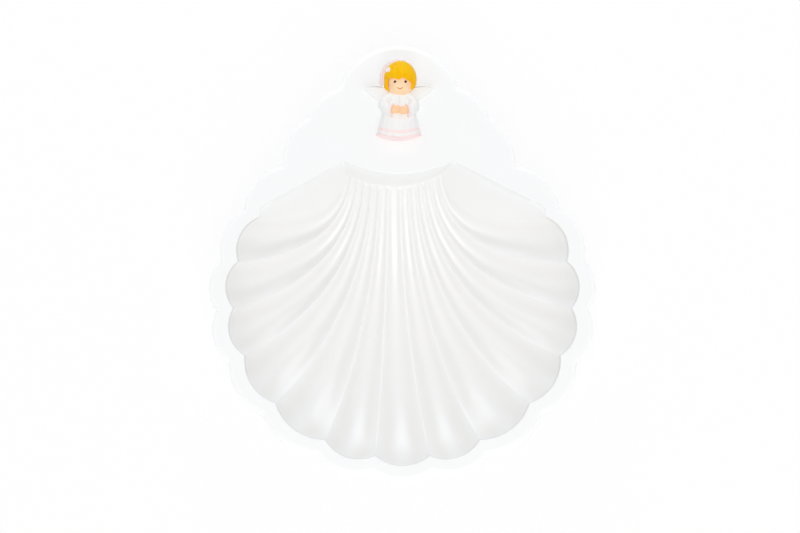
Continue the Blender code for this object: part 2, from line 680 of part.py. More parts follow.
def make_figure(parent):
    white = make_material("white resin", (0.93, 0.925, 0.91), 0.45)
    skin = make_material("skin paint", (1.0, 0.70, 0.45), 0.5)
    pink = make_material("pink paint", (0.97, 0.78, 0.78), 0.5)
    yellow = make_material("hair paint", (1.0, 0.56, 0.005), 0.45)
    glue = make_material("clear glue", (0.9, 0.88, 0.8), 0.3)
    back = make_empty("figure_back", (0.0, 0.0, FIGURE_BACK), parent)
    neck = make_empty("figure_neck", (HEAD_SIDE, 0.0, 0.0), back)
    make_glue(parent, glue)
    cutters = make_cutters(back, neck)
    make_robe(back, white, cutters)
    for name, side in (("left", -1), ("right", 1)):
        make_sleeve(name + "_sleeve", side, back, white, cutters)
        make_cuff(name + "_cuff", side, back, pink, cutters)
        make_hand(name + "_hand", side, back, skin, cutters)
    make_head(neck, skin)
    make_hair(neck, yellow, cutters)
    make_veil(neck, pink, cutters)
    make_flower(neck, white, pink)
    make_wings(back, white)


def main():
    remove_all_objects()
    edge = [point.y for point in dish_outline()]
    rim = make_empty("rim_top", (0.0, -(min(edge) + max(edge)) / 2, STAND_HEIGHT))
    make_dish(rim, make_material("pearl plastic", (0.93, 0.925, 0.91), 0.28, 0.5))
    hem = hinge_point(0.0).y + FIGURE_SETBACK
    make_figure(make_empty("figure", (HANDLE_SIDE, hem, 0.0), rim))


main()
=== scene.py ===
import math

import bmesh
import bpy
import numpy as np
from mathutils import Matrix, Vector


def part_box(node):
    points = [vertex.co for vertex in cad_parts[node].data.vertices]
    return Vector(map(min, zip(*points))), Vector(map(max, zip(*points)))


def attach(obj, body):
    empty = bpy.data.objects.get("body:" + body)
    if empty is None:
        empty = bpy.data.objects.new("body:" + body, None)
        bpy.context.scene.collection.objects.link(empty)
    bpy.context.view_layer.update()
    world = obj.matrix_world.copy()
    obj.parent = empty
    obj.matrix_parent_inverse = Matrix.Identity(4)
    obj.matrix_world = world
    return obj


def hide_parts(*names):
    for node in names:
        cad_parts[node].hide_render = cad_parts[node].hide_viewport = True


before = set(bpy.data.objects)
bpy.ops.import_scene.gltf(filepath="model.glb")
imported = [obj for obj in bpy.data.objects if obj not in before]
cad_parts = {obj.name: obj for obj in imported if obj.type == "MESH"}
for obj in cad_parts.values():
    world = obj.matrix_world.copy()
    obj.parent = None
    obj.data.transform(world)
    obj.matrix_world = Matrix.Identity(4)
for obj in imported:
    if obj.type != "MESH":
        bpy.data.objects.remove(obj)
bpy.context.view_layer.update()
mm = 0.001
weldsPerMetre = 1e7  # points in one cell of a tenth of a micrometre are welded
print("frame loaded:", len(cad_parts), "nodes")


def mix(first, second, share):  # straight blend from first to second
    return first + (second - first) * share


def ease(share):  # half a cosine wave from 0 to 1
    return (1 - np.cos(np.pi * np.clip(share, 0.0, 1.0))) / 2


def rise(low, high, value):  # cubic step, 0 up to low and 1 from high on
    share = np.clip((value - low) / (high - low), 0.0, 1.0)
    return share * share * (3 - 2 * share)


def bell(value, width):  # bell curve, 1 in its middle
    return np.exp(-(value / width) ** 2)


def signedPower(value, power):  # power of the size, with the sign kept
    return np.sign(value) * np.abs(value) ** power


def fullTurn(steps):  # even angles round a circle, without the last, which is the first again
    return np.arange(steps) / steps * 2 * np.pi


def unit(vectors):  # each vector over its own length
    return vectors / np.maximum(np.linalg.norm(vectors, axis=-1, keepdims=True), 1e-12)


def solid(x, y, z):  # three arrays of one grid as points
    return np.stack(np.broadcast_arrays(x, y, z), axis=-1).astype(float)


def level(plan, height):  # points of a plan, all at one height
    return np.concatenate([plan, np.full((len(plan), 1), height)], axis=-1)


def capped(grid):  # rows closed by the middle points of the first and the last row
    first, last = [np.broadcast_to(row.mean(axis=0), grid[:1].shape) for row in (grid[0], grid[-1])]
    return np.concatenate([first, grid, last])


def cappedMark(values):  # values for a capped grid: the first and the last row once more
    return np.concatenate([values[:1], values, values[-1:]])


def show(name, data):  # a new object in the scene
    thing = bpy.data.objects.new(name, data)
    bpy.context.scene.collection.objects.link(thing)
    return thing


def patch(grid, closed=True, **marks):  # one grid of a piece, with the values that its finish reads
    return {"grid": grid, "closed": closed, "marks": marks}


def makePiece(name, patches, material, nodes=(), sharp=50.0):
    # grids become quads, points that meet are welded, and a quad with a repeated corner becomes a triangle
    points, faces, marks, start = [], [], {}, 0
    for sheet in patches:
        rows, cols = sheet["grid"].shape[:2]
        across = cols if sheet["closed"] else cols - 1
        i, j = np.meshgrid(np.arange(rows - 1), np.arange(across), indexing="ij")
        after = (j + 1) % cols
        corners = [i * cols + j, i * cols + after, (i + 1) * cols + after, (i + 1) * cols + j]
        faces.append(np.stack(corners, axis=-1).reshape(-1, 4) + start)
        points.append(sheet["grid"].reshape(-1, 3))
        for key, values in sheet["marks"].items():
            marks.setdefault(key, []).append(np.broadcast_to(values, (rows, cols)).ravel())
        start += rows * cols
    points = np.concatenate(points)
    cells = np.round(points * weldsPerMetre).astype(np.int64)
    _, kept, welded = np.unique(cells, axis=0, return_index=True, return_inverse=True)
    corners = welded.reshape(-1)[np.concatenate(faces)]
    repeats = corners == np.roll(corners, -1, axis=1)
    single = repeats.sum(axis=1) == 1
    turn = (repeats[single].argmax(axis=1)[:, None] + np.array([1, 2, 3])) % 4
    triangles = np.take_along_axis(corners[single], turn, axis=1)
    quads = corners[repeats.sum(axis=1) == 0]
    mesh = bpy.data.meshes.new(name)
    mesh.from_pydata(points[kept].tolist(), [], quads.tolist() + triangles.tolist())
    shape = bmesh.new()
    shape.from_mesh(mesh)
    bmesh.ops.recalc_face_normals(shape, faces=shape.faces[:])
    shape.to_mesh(mesh)
    shape.free()
    for key, values in marks.items():
        attribute = mesh.attributes.new(key, "FLOAT", "POINT")
        attribute.data.foreach_set("value", np.concatenate(values)[kept].astype(np.float32))
    mesh.shade_smooth()
    mesh.set_sharp_from_angle(angle=math.radians(sharp))
    mesh.materials.append(material)
    piece = show(name, mesh)
    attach(piece, "root")
    if nodes:
        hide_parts(*nodes)
    return piece


def plug(tree, socket, value):  # a wire is linked to the socket, any other value is set on it
    if isinstance(value, Wire):
        tree.links.new(value.socket, socket)
    else:
        socket.default_value = value


class Wire:  # a socket inside an expression; each operator adds its Math node
    def __init__(self, tree, socket):
        self.tree = tree
        self.socket = socket

    def math(self, operation, first, second):  # one Math node
        node = self.tree.nodes.new("ShaderNodeMath")
        node.operation = operation
        plug(self.tree, node.inputs[0], first)
        plug(self.tree, node.inputs[1], second)
        return Wire(self.tree, node.outputs[0])

    def __add__(self, other):
        return self.math("ADD", self, other)

    def __radd__(self, other):
        return self.math("ADD", other, self)

    def __sub__(self, other):
        return self.math("SUBTRACT", self, other)

    def __rsub__(self, other):
        return self.math("SUBTRACT", other, self)

    def __mul__(self, other):
        return self.math("MULTIPLY", self, other)

    def __rmul__(self, other):
        return self.math("MULTIPLY", other, self)

    def larger(self, other):
        return self.math("MAXIMUM", self, other)


class Finish:  # one material: its shader with fixed values, and node() for everything that varies
    def __init__(self, name, fixed):
        self.material = bpy.data.materials.new(name)
        self.material.use_nodes = True
        self.tree = self.material.node_tree
        self.shader = self.tree.nodes["Principled BSDF"]
        for socket, value in fixed.items():
            self.shader.inputs[socket].default_value = value

    def node(self, kind, settings, sockets, output=0):  # settings first, then values or links of sockets
        node = self.tree.nodes.new(kind)
        for key, value in settings.items():
            setattr(node, key, value)
        for key, value in sockets.items():
            plug(self.tree, node.inputs[key], value)
        return Wire(self.tree, node.outputs[output])

    def place(self):  # Object coordinates
        return self.node("ShaderNodeTexCoord", {}, {}, "Object")

    def mark(self, name):  # a value that the mesh carries at each point
        return self.node("ShaderNodeAttribute", {"attribute_name": name}, {}, "Fac")

    def noise(self, scale, detail, warp=0.0, place=None):  # clouds on Object coordinates or another place
        sockets = {"Vector": place or self.place(), "Scale": scale, "Detail": detail, "Distortion": warp}
        return self.node("ShaderNodeTexNoise", {}, {"Roughness": 0.55, **sockets})

    def between(self, value, low, high):  # smooth step, 0 up to low and 1 from high on
        sockets = {"Value": value, "From Min": low, "From Max": high, "To Min": 0.0, "To Max": 1.0}
        return self.node("ShaderNodeMapRange", {"interpolation_type": "SMOOTHSTEP"}, sockets)

    def blend(self, share, first, second):  # the first colour at share 0, the second at share 1
        return self.node("ShaderNodeMix", {"data_type": "RGBA"}, {0: share, 6: first, 7: second}, 2)

    def dress(self, colour, roughness, height, depth):  # height becomes a relief of that depth
        plug(self.tree, self.shader.inputs["Base Color"], colour)
        plug(self.tree, self.shader.inputs["Roughness"], roughness)
        relief = self.node("ShaderNodeBump", {}, {"Strength": 1.0, "Distance": depth, "Height": height})
        plug(self.tree, self.shader.inputs["Normal"], relief)
        return self.material


# finishes: colours in linear light, noise scales in lumps per metre
pearl = {
    "cool": (0.938, 0.941, 0.945, 1), "warmAndShade": (0.87, 0.862, 0.844, 1), "lipShade": (0.5, 0.475, 0.44, 1),
    "flow": 38.0, "grain": 2400.0, "flowShare": 0.12, "flankShare": 0.42, "basinShadeShare": 0.56,
    "lipShare": 0.34, "roughness": 0.26, "relief": 0.02 * mm, "fixed": {
        "IOR": 1.5, "Coat Weight": 0.35, "Coat Roughness": 0.22, "Specular Tint": (0.93, 0.965, 1.0, 1)}}


def pearlPlastic():
    # moulded pearl plastic with faint flow swirls of its own; painted shade makes it warmer and darker in the
    # basin and most on the slopes of its troughs, and a thin painted shadow line lies under the lip
    finish = Finish("pearlPlastic", pearl["fixed"])
    flow = finish.noise(pearl["flow"], 4.0, 1.8)
    grain = finish.noise(pearl["grain"], 2.0)
    # the warm colour serves the flow swirls, the plastic's own tone, and painted shade on the trough slopes
    # and in the basin
    warmAndShade = finish.between(flow, 0.3, 0.8) * pearl["flowShare"] + finish.mark("flank") * pearl["flankShare"]
    warmAndShade = warmAndShade + finish.mark("basin") * pearl["basinShadeShare"]
    colour = finish.blend(warmAndShade, pearl["cool"], pearl["warmAndShade"])
    # painted shadow: a thin dark line under the lip
    colour = finish.blend(finish.mark("lip") * pearl["lipShare"], colour, pearl["lipShade"])
    roughness = pearl["roughness"] + flow * 0.1 + grain * 0.06
    return finish.dress(colour, roughness, flow * 0.8 + grain * 0.2, pearl["relief"])


paint = {
    "white": (0.905, 0.902, 0.892, 1), "chalk": (0.885, 0.885, 0.88, 1), "shade": (0.72, 0.715, 0.7, 1),
    "wing": (0.925, 0.925, 0.92, 1), "wingChalk": (0.9, 0.9, 0.895, 1), "line": (0.4, 0.375, 0.34, 1),
    "pink": (0.95, 0.75, 0.745, 1), "palePink": (0.955, 0.83, 0.815, 1), "deepPink": (0.9, 0.6, 0.61, 1),
    "veil": (0.87, 0.815, 0.835, 1), "veilPink": (0.86, 0.77, 0.8, 1), "blush": (0.96, 0.56, 0.39, 1),
    "skin": (0.97, 0.72, 0.45, 1), "skinWarm": (0.97, 0.68, 0.42, 1),
    "hand": (0.97, 0.68, 0.37, 1), "handWarm": (0.96, 0.62, 0.32, 1),
    "yellow": (0.96, 0.57, 0.006, 1), "amber": (0.93, 0.42, 0.002, 1),
    "eye": (0.022, 0.012, 0.012, 1), "eyeBrown": (0.06, 0.024, 0.014, 1),
    "mouth": (0.72, 0.31, 0.12, 1), "mouthDeep": (0.55, 0.2, 0.08, 1),
    "glue": (0.88, 0.87, 0.83, 1), "glueMilk": (0.93, 0.925, 0.91, 1)}
brush = {"blots": 900.0, "grain": 5400.0, "gloss": 0.42, "blotGloss": 0.12, "relief": 0.04 * mm,
         "fixed": {"IOR": 1.48, "Coat Weight": 0.08, "Coat Roughness": 0.3}}


def brushed(name, main, other, markName=None, markColour=None, gloss=brush["gloss"]):
    # hand-laid paint: two close tints in soft blots, a brush grain in the relief, and one mark in a third
    # colour, which on most finishes is painted shade in creases and grooves
    finish = Finish(name, brush["fixed"])
    blots = finish.noise(brush["blots"], 3.0, 0.6)
    grain = finish.noise(brush["grain"], 2.0)
    colour = finish.blend(finish.between(blots, 0.35, 0.75), paint[main], paint[other])
    if markName:
        colour = finish.blend(finish.mark(markName), colour, paint[markColour])
    gloss = gloss + blots * brush["blotGloss"]
    return finish.dress(colour, gloss, blots * 0.5 + grain * 0.5, brush["relief"])


robeTint = {  # the bands' edges in millimetres above the hem
    "lowerTop": 0.34, "upperLow": 1.16, "upperTop": 2.3, "softEdge": 0.12, "wander": 0.3,
    "wanderScale": 420.0, "blots": 700.0, "grain": 5200.0, "creaseShare": 0.6, "collarShare": 0.25}


def robePaint():  # white paint with two pink bands above the hem, a pink collar, and grey painted shade in the creases
    finish = Finish("robePaint", brush["fixed"])
    blots = finish.noise(robeTint["blots"], 3.0, 0.6)
    grain = finish.noise(robeTint["grain"], 2.0)
    wander = finish.noise(robeTint["wanderScale"], 2.0) * robeTint["wander"] - robeTint["wander"] / 2
    above = finish.mark("aboveHem") + wander

    def past(edge):  # 0 below that edge of a band and 1 above it
        return finish.between(above, robeTint[edge], robeTint[edge] + robeTint["softEdge"])

    banded = 1.0 - past("lowerTop") + past("upperLow") * (1.0 - past("upperTop"))
    colour = finish.blend(finish.between(blots, 0.35, 0.8), paint["white"], paint["chalk"])
    # painted shade: the crease mark turns the white towards grey
    colour = finish.blend(finish.mark("crease") * robeTint["creaseShare"], colour, paint["shade"])
    pinkHere = finish.blend(finish.between(grain, 0.3, 0.7), paint["pink"], paint["palePink"])
    colour = finish.blend(banded, colour, pinkHere)
    colour = finish.blend(finish.mark("collar") * robeTint["collarShare"], colour, paint["pink"])
    gloss = brush["gloss"] + blots * brush["blotGloss"]
    return finish.dress(colour, gloss, blots * 0.5 + grain * 0.5, brush["relief"])


hairTint = {
    "blots": 620.0, "grain": 4800.0, "strokes": 1500.0, "slant": (0.0, 0.0, 0.55),
    "stretch": (1.0, 0.28, 1.0), "grooveShadeShare": 0.25, "endShare": 0.25, "blotShare": 0.3,
    "strokeShare": 0.4, "gloss": 0.36, "fixed": {"IOR": 1.48, "Specular IOR Level": 0.06}}


def hairPaint():  # yellow paint, amber in slanting strokes and towards the ends, and amber as painted shade in the grooves between strands
    finish = Finish("hairPaint", hairTint["fixed"])
    blots = finish.noise(hairTint["blots"], 3.0, 1.0)
    grain = finish.noise(hairTint["grain"], 2.0)
    slanted = finish.node("ShaderNodeMapping", {}, {
        "Vector": finish.place(), "Rotation": hairTint["slant"], "Scale": hairTint["stretch"]})
    strokes = finish.between(finish.noise(hairTint["strokes"], 2.0, 0.4, slanted), 0.5, 0.62)
    deep = finish.mark("groove") * hairTint["grooveShadeShare"] + finish.mark("ends") * hairTint["endShare"]
    deep = deep + finish.between(blots, 0.45, 0.8) * hairTint["blotShare"] + strokes * hairTint["strokeShare"]
    colour = finish.blend(deep, paint["yellow"], paint["amber"])
    gloss = hairTint["gloss"] + blots * brush["blotGloss"]
    return finish.dress(colour, gloss, blots * 0.4 + grain * 0.6, brush["relief"])


pearlFinish = pearlPlastic()
robeFinish = robePaint()
hairFinish = hairPaint()
# the crease mark is painted shade on the white paint (sleeves, petals), the wings and the veil; on the pink
# paint it deepens the cuffs' ripples and the bead; the skin and hand mark paints blush on the cheeks and
# nose, and painted shade under the chin and between the fingers
whiteFinish = brushed("whitePaint", "white", "chalk", "crease", "shade")
wingFinish = brushed("wingPaint", "wing", "wingChalk", "crease", "line")
skinFinish = brushed("skinPaint", "skin", "skinWarm", "blush", "blush")
handFinish = brushed("handPaint", "hand", "handWarm", "blush", "blush")
veilFinish = brushed("veilPaint", "veil", "veilPink", "crease", "pink")
pinkFinish = brushed("pinkPaint", "palePink", "pink", "crease", "deepPink")
eyeFinish = brushed("eyePaint", "eye", "eyeBrown", gloss=0.2)
mouthFinish = brushed("mouthPaint", "mouth", "mouthDeep")
glueFinish = brushed("setGlue", "glue", "glueMilk", gloss=0.25)
print("finishes made")


# the dish: plan sizes in metres from the middle of the circle that the notches lie on
dish = {
    "notchDegrees": (5.7, 16.8, 30.2, 42.9, 54.4, 66.0, 79.1), "flutes": 13, "notchRadius": 55.3 * mm,
    "umbo": 30.5 * mm, "lobeBow": 3.2 * mm, "earDrawIn": 4.9 * mm, "earStep": 3.0 * mm, "fallOff": 4,
    "handleSide": -1.2 * mm, "hingeHalf": 17.7 * mm, "hingePeak": 9.2 * mm, "hingeSag": 4.2 * mm,
    "fanShare": 0.963, "setback": 2.7 * mm, "combSide": -2.7 * mm, "combHalf": 15.8 * mm, "combSpread": 0.82,
    "combDepth": 5.0 * mm, "ridgeDepth": 17.5 * mm, "earDepth": 9.0 * mm, "fluteDepth": 2.6 * mm,
    "combFlute": 0.7 * mm, "ribTip": 0.02, "splay": 0.11, "knee": 0.47, "roundness": 0.6, "fluteFull": 0.8,
    "fluteFade": 10, "softCrest": 0.25, "crest": 0.15, "crestRun": 0.5, "slopeRun": 0.3, "crowding": 0.35,
    "midRib": 0.12 * mm, "midRibWidth": 0.11, "midRibFade": (0.35, 0.85), "plainFrom": 0.84,
    "earWall": 1 / 16, "rim": 5.7 * mm, "rimBow": 2.9 * mm, "wall": 2.2 * mm, "thick": 3.0 * mm,
    "edge": 1.8 * mm, "underEdge": 0.7 * mm, "lip": 0.45 * mm, "earBow": 3.2 * mm, "shoulderBow": 2.4 * mm,
    "cheekBow": 1.6 * mm, "shoulder": (37.5 * mm, 8.0 * mm), "cheek": (29.4 * mm, 23.9 * mm),
    "crown": (18.9 * mm, 34.0 * mm), "reach": 47.8 * mm, "perFlute": 28, "earColumns": 8, "wallRows": 6,
    "ribRows": 88, "cheekPart": 5, "lipRings": 4, "plateRings": 5, "edgeRings": 7, "underRings": 3,
    "belowShares": (0.35, 0.7)}


def notchPoint(index):  # on the notch circle, straight out from the umbo; the outer ones lie a little inside
    off = index - dish["flutes"] / 2
    turn = np.sign(off) * np.radians(np.array(dish["notchDegrees"])[np.abs(off).astype(int)])
    outer = np.abs(2 * index / dish["flutes"] - 1) ** dish["fallOff"]
    radius = dish["notchRadius"] - dish["earDrawIn"] * outer
    reach = dish["umbo"] * np.cos(turn) + np.sqrt(radius ** 2 - (dish["umbo"] * np.sin(turn)) ** 2)
    return np.stack([reach * np.sin(turn), dish["umbo"] - reach * np.cos(turn)], axis=-1)


def bowedArc(start, end, bow, share):  # circular arc from start to end, bowed out to the right of its way
    start, end = np.asarray(start, float), np.asarray(end, float)
    length = np.linalg.norm(end - start, axis=-1, keepdims=True)
    along = (end - start) / length
    outward = np.stack([along[..., 1], -along[..., 0]], axis=-1)
    radius = (length ** 2 / 4 + bow ** 2) / (2 * bow)
    turn = np.arctan2(length / 2, radius - bow) * (2 * np.asarray(share)[:, None] - 1)
    middle = (start + end) / 2 + outward * (bow - radius)
    return middle + (outward * np.cos(turn) + along * np.sin(turn)) * radius


def pushed(plan, distance):  # straight away from the middle of the basin
    return plan + unit(plan) * distance


def hingePoint(share):  # parabola between the two hinge corners
    share = np.asarray(share, float)
    x = dish["handleSide"] + share * dish["hingeHalf"]
    y = dish["umbo"] + dish["hingePeak"] - dish["hingeSag"] * (1 - share ** 2)
    return np.stack([x, y], axis=-1)


def fanPlaces():  # places along the margin counted in flutes, closer together near each ridge
    step = np.arange(dish["perFlute"]) / dish["perFlute"]
    step = step - dish["crowding"] * np.sin(2 * np.pi * step) / (2 * np.pi)
    return np.append((np.arange(dish["flutes"])[:, None] + step).ravel(), dish["flutes"])


def lobeLine(push, bow):  # the lobes between the notches, pushed outwards
    place = fanPlaces()
    index = np.minimum(np.floor(place), dish["flutes"] - 1)
    return bowedArc(pushed(notchPoint(index), push), pushed(notchPoint(index + 1), push), bow, place - index)


def bowlDrop(along, start, deepest):  # (1 - q^2)^roundness across the bowl, begun where it is start deep
    begun = (1 - np.sqrt(1 - (start / deepest) ** (1 / dish["roundness"]))) / 2
    place = begun + (1 - begun) * along
    return deepest * np.maximum(0.0, 1 - (2 * place - 1) ** 2) ** dish["roundness"]


def basinGrid(grow, edge):
    # each column runs from the hinge edge down the wall to the comb, then along a bent rib to the margin; its
    # depth is the bowl's fall plus a half wave across each flute, with crests that narrow towards the margin;
    # the comb lies as deep as a trough, so the ribs stand up from it; a low second rib in each trough fades
    # towards the margin; the ears blend straight from the outermost lines to the ear edges; the second
    # result, the share of painted shade, is 1 on the two slopes of a trough, and 0 on its crests and along
    # its middle
    place = fanPlaces()
    share = 2 * place / dish["flutes"] - 1
    wide = signedPower(share, dish["combSpread"])
    hinge = pushed(hingePoint(wide * dish["fanShare"]), grow)
    combX = dish["combSide"] + wide * dish["combHalf"]
    comb = pushed(np.stack([combX, hingePoint(wide)[:, 1] - dish["setback"]], axis=-1), grow)
    end = pushed(lobeLine(0.0, dish["lobeBow"]), grow)
    lean = dish["splay"] * share * math.radians(dish["notchDegrees"][-1])
    run = np.linalg.norm(end - comb, axis=-1, keepdims=True)
    knee = comb + np.stack([np.sin(lean), -np.cos(lean)], axis=-1) * dish["knee"] * run
    runs = np.linspace(0, 1, dish["ribRows"] + 1)
    along = ease(runs)[:, None]
    bend = along[..., None]
    plan = mix(mix(comb, knee, bend), mix(knee, end, bend), bend)
    deepest = mix(dish["ridgeDepth"], dish["earDepth"], np.abs(share) ** dish["fallOff"]) + grow + edge
    crest = mix(dish["softCrest"], dish["crest"], ease(along / dish["crestRun"]))
    wave = np.sqrt(np.sin(np.pi * place) ** 2 + crest ** 2) - crest
    wave = wave / (np.sqrt(1 + crest ** 2) - crest)
    standing = rise(0.0, dish["ribTip"], along)
    wave = mix(1.0, wave, np.maximum(standing, rise(dish["plainFrom"], 1.0, np.abs(share))))
    full = mix(dish["combFlute"], dish["fluteDepth"], ease(along / dish["fluteFull"]))
    flute = full * (1 - along ** dish["fluteFade"]) * wave
    midRib = bell(place % 1.0 - 0.5, dish["midRibWidth"]) * (np.abs(share) < dish["plainFrom"])
    flute = flute - dish["midRib"] * midRib * standing * (1 - rise(*dish["midRibFade"], along))
    drop = bowlDrop(along, dish["combDepth"] + grow + edge, deepest) + flute
    ribs = np.concatenate([plan, (edge - drop)[..., None]], axis=-1)
    down = np.arange(dish["wallRows"]) / dish["wallRows"]
    fan = np.concatenate([mix(level(hinge, edge), ribs[0], down[:, None, None]), ribs])
    corner = notchPoint(np.array(float(dish["flutes"]))) + np.array([0.0, dish["earStep"]])
    earShare = np.concatenate([down * dish["earWall"], mix(dish["earWall"], 1, runs)])[:, None]
    outward = (np.arange(dish["earColumns"]) + 1) / dish["earColumns"]
    ears = []
    for side, inner in ((-1.0, fan[:, :1]), (1.0, fan[:, -1:])):
        line = mix(pushed(hingePoint(side), grow), pushed(corner * np.array([side, 1.0]), grow), earShare)
        ears.append(mix(inner, level(line, edge)[:, None], outward[None, :, None]))
    # share of painted shade on the trough slopes, none on the crests and along the middle
    slopes = np.sin(2 * np.pi * place) ** 2 * ease(along / dish["slopeRun"])
    slopes = np.pad(slopes, ((len(down), 0), (dish["earColumns"], dish["earColumns"])))
    return np.concatenate([ears[0][:, ::-1], fan, ears[1]], axis=1), slopes


def borderLoop(grid):  # margin, right ear, hinge and left ear as one loop, counter-clockwise from above
    return np.concatenate([grid[-1], grid[-2:0:-1, -1], grid[0, ::-1], grid[1:-1, 0]])


def outlineLoop(rows):
    # outer edge of rim and handle, point for point beside the border loop: the lobes beside the margin, the
    # shoulders beside the ears and the crown beside the hinge
    middle = np.array([dish["handleSide"], dish["umbo"]])
    corners = np.array([dish["shoulder"], dish["cheek"], dish["crown"]])
    shoulder, cheek, crown = middle + corners
    shoulderLeft, cheekLeft, crownLeft = middle + corners * np.array([-1.0, 1.0])
    lobes = lobeLine(dish["rim"], dish["rimBow"])
    beside = dish["earColumns"] + rows - 2
    low = beside // 2
    high = beside - low
    highSteps = (np.arange(high) + 1) / (high + 1)
    earRight = np.concatenate([
        bowedArc(lobes[-1], shoulder, dish["earBow"], (np.arange(low) + 1) / low),
        bowedArc(shoulder, cheek, dish["shoulderBow"], highSteps)])
    earLeft = np.concatenate([
        bowedArc(cheekLeft, shoulderLeft, dish["shoulderBow"], highSteps),
        bowedArc(shoulderLeft, lobes[0], dish["earBow"], np.arange(low) / low)])
    total = len(lobes) + 2 * dish["earColumns"]
    first = total // dish["cheekPart"]
    top = total - 1 - 2 * first
    handle = np.concatenate([
        bowedArc(cheek, crown, dish["cheekBow"], np.arange(first) / first),
        bowedArc(crown, crownLeft, dish["reach"] - dish["crown"][1], np.arange(top) / top),
        bowedArc(crownLeft, cheekLeft, dish["cheekBow"], np.arange(first + 1) / first)])
    return np.concatenate([earLeft[rows - 2:], lobes, earRight, handle, earLeft[:rows - 2]])


def insetLoop(loop, distance):  # moved inwards, square to the mean of the two edges that meet at each point
    along = unit(unit(np.roll(loop, -1, axis=0) - loop) + unit(loop - np.roll(loop, 1, axis=0)))
    return loop + np.stack([-along[:, 1], along[:, 0]], axis=-1) * distance


def quarterTurn(steps):  # even angles from flat to upright
    return np.linspace(0, math.pi / 2, steps + 1)


def plateRings(inner, outer, outline):
    # from the basin's lip over the flat plate, round the outer edge, and back underneath to the outer bowl
    lip, edge, under, thick = [dish[key] for key in ("lip", "edge", "underEdge", "thick")]
    rings = [inner]
    for turn in quarterTurn(dish["lipRings"])[1:]:
        rings.append(level(pushed(inner[:, :2], lip * (1 - math.cos(turn))), lip * (math.sin(turn) - 1)))
    flat = rings[-1]
    for share in np.linspace(0, 1, dish["plateRings"] + 1)[1:]:
        rings.append(mix(flat, level(insetLoop(outline, edge), 0.0), share))
    for turn in quarterTurn(dish["edgeRings"])[1:]:
        rings.append(level(insetLoop(outline, edge * (1 - math.sin(turn))), edge * (math.cos(turn) - 1)))
    for turn in quarterTurn(dish["underRings"]):
        ring = insetLoop(outline, under * (1 - math.cos(turn)))
        rings.append(level(ring, under * (1 - math.sin(turn)) - thick))
    flat = rings[-1]
    for share in dish["belowShares"]:
        rings.append(mix(flat, outer, share))
    return np.stack(rings + [outer])


tint = {  # where painted shade darkens the pearl: depths below the rim, and places towards the front and the back
    "basinDepth": 4 * mm, "back": 30 * mm, "front": -25 * mm, "backShare": 0.4, "frontShare": 0.85,
    "lipStart": (0.3 * mm, 0.5 * mm), "lipEnd": (0.8 * mm, 1.4 * mm), "lipRows": 9, "earGap": 2}


def paintedBasinShade(grid):  # painted shade: the basin's share, more towards the front, and a painted shadow band under the margin's lip
    depth = -grid[..., 2]
    frontward = rise(tint["back"], tint["front"], grid[..., 1])
    basinShade = rise(0.0, tint["basinDepth"], depth) * mix(tint["backShare"], tint["frontShare"], frontward)
    underLipShade = rise(*tint["lipStart"], depth) * (1 - rise(*tint["lipEnd"], depth))
    ear = dish["earColumns"] + tint["earGap"]
    underLipShade[:-tint["lipRows"]] = 0.0
    underLipShade[:, :ear] = 0.0
    underLipShade[:, -ear:] = 0.0
    return basinShade, underLipShade


inside, flank = basinGrid(0.0, 0.0)
inside[..., 2] = -np.sqrt(inside[..., 2] ** 2 + dish["lip"] ** 2)  # leaves room for the rounded lip
basinShade, underLipShade = paintedBasinShade(inside)
outside = basinGrid(dish["wall"], -dish["thick"])[0]
outline = outlineLoop(len(inside))
rings = plateRings(borderLoop(inside), borderLoop(outside), outline)
dishLow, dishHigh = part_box("shell_dish")
rimTop = np.array([0.0, dishLow.y - outline[:, 1].min(), dishHigh.z])
noPaintedShade = {"flank": 0.0, "basin": 0.0, "lip": 0.0}
# the inside carries painted shade on the trough slopes, in the basin and under the lip; the other sheets
# carry none
shellDish = makePiece("shellDish", [
    patch(inside + rimTop, closed=False, flank=flank, basin=basinShade, lip=underLipShade),
    patch(rings + rimTop, **noPaintedShade),
    patch(outside + rimTop, closed=False, **noPaintedShade)],
    pearlFinish, ["shell_dish"], sharp=60.0)

foot = {"radius": 20.0 * mm, "width": 2.6 * mm, "draft": 0.24 * mm, "offset": 2.5 * mm, "edge": 0.5 * mm,
        "sink": 0.8 * mm, "around": 180, "edgeSteps": 4}


def footGrid():  # drafted profile carried round a circle; its top follows the bowl and ends in its wall
    turn = fullTurn(foot["around"])
    around = np.stack([np.cos(turn), np.sin(turn)], axis=-1)
    shift = np.array([0.0, foot["offset"]])
    bottom = dishLow.z - dishHigh.z
    cloud = outside.reshape(-1, 3)
    outer, inner, edge = foot["radius"], foot["radius"] - foot["width"], foot["edge"]
    tops = []
    for radius in (inner - foot["draft"], outer + foot["draft"]):
        plan = around * radius + shift
        gap = ((plan[:, None] - cloud[None, :, :2]) ** 2).sum(axis=-1)
        tops.append(np.concatenate([plan, (cloud[gap.argmin(axis=1), 2] + foot["sink"])[:, None]], axis=-1))
    rows = [tops[0]]
    for bend in quarterTurn(foot["edgeSteps"]):
        ring = around * (inner + edge * (1 - math.cos(bend))) + shift
        rows.append(level(ring, bottom + edge * (1 - math.sin(bend))))
    for bend in quarterTurn(foot["edgeSteps"]):
        ring = around * (outer - edge * (1 - math.sin(bend))) + shift
        rows.append(level(ring, bottom + edge * (1 - math.cos(bend))))
    return np.stack(rows + [tops[1], tops[0]]) + rimTop


footRing = makePiece("footRing", [patch(footGrid(), **noPaintedShade)],
                     pearlFinish, ["shell_dish"])
print("dish made")


# the angel: millimetres from the middle of its hem, x to the right, h up the handle, d out of its flat back;
# "grid" gives rows and columns
robeLow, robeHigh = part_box("robe")
hem = np.array([(robeLow.x + robeHigh.x) / 2, robeLow.y, robeLow.z])


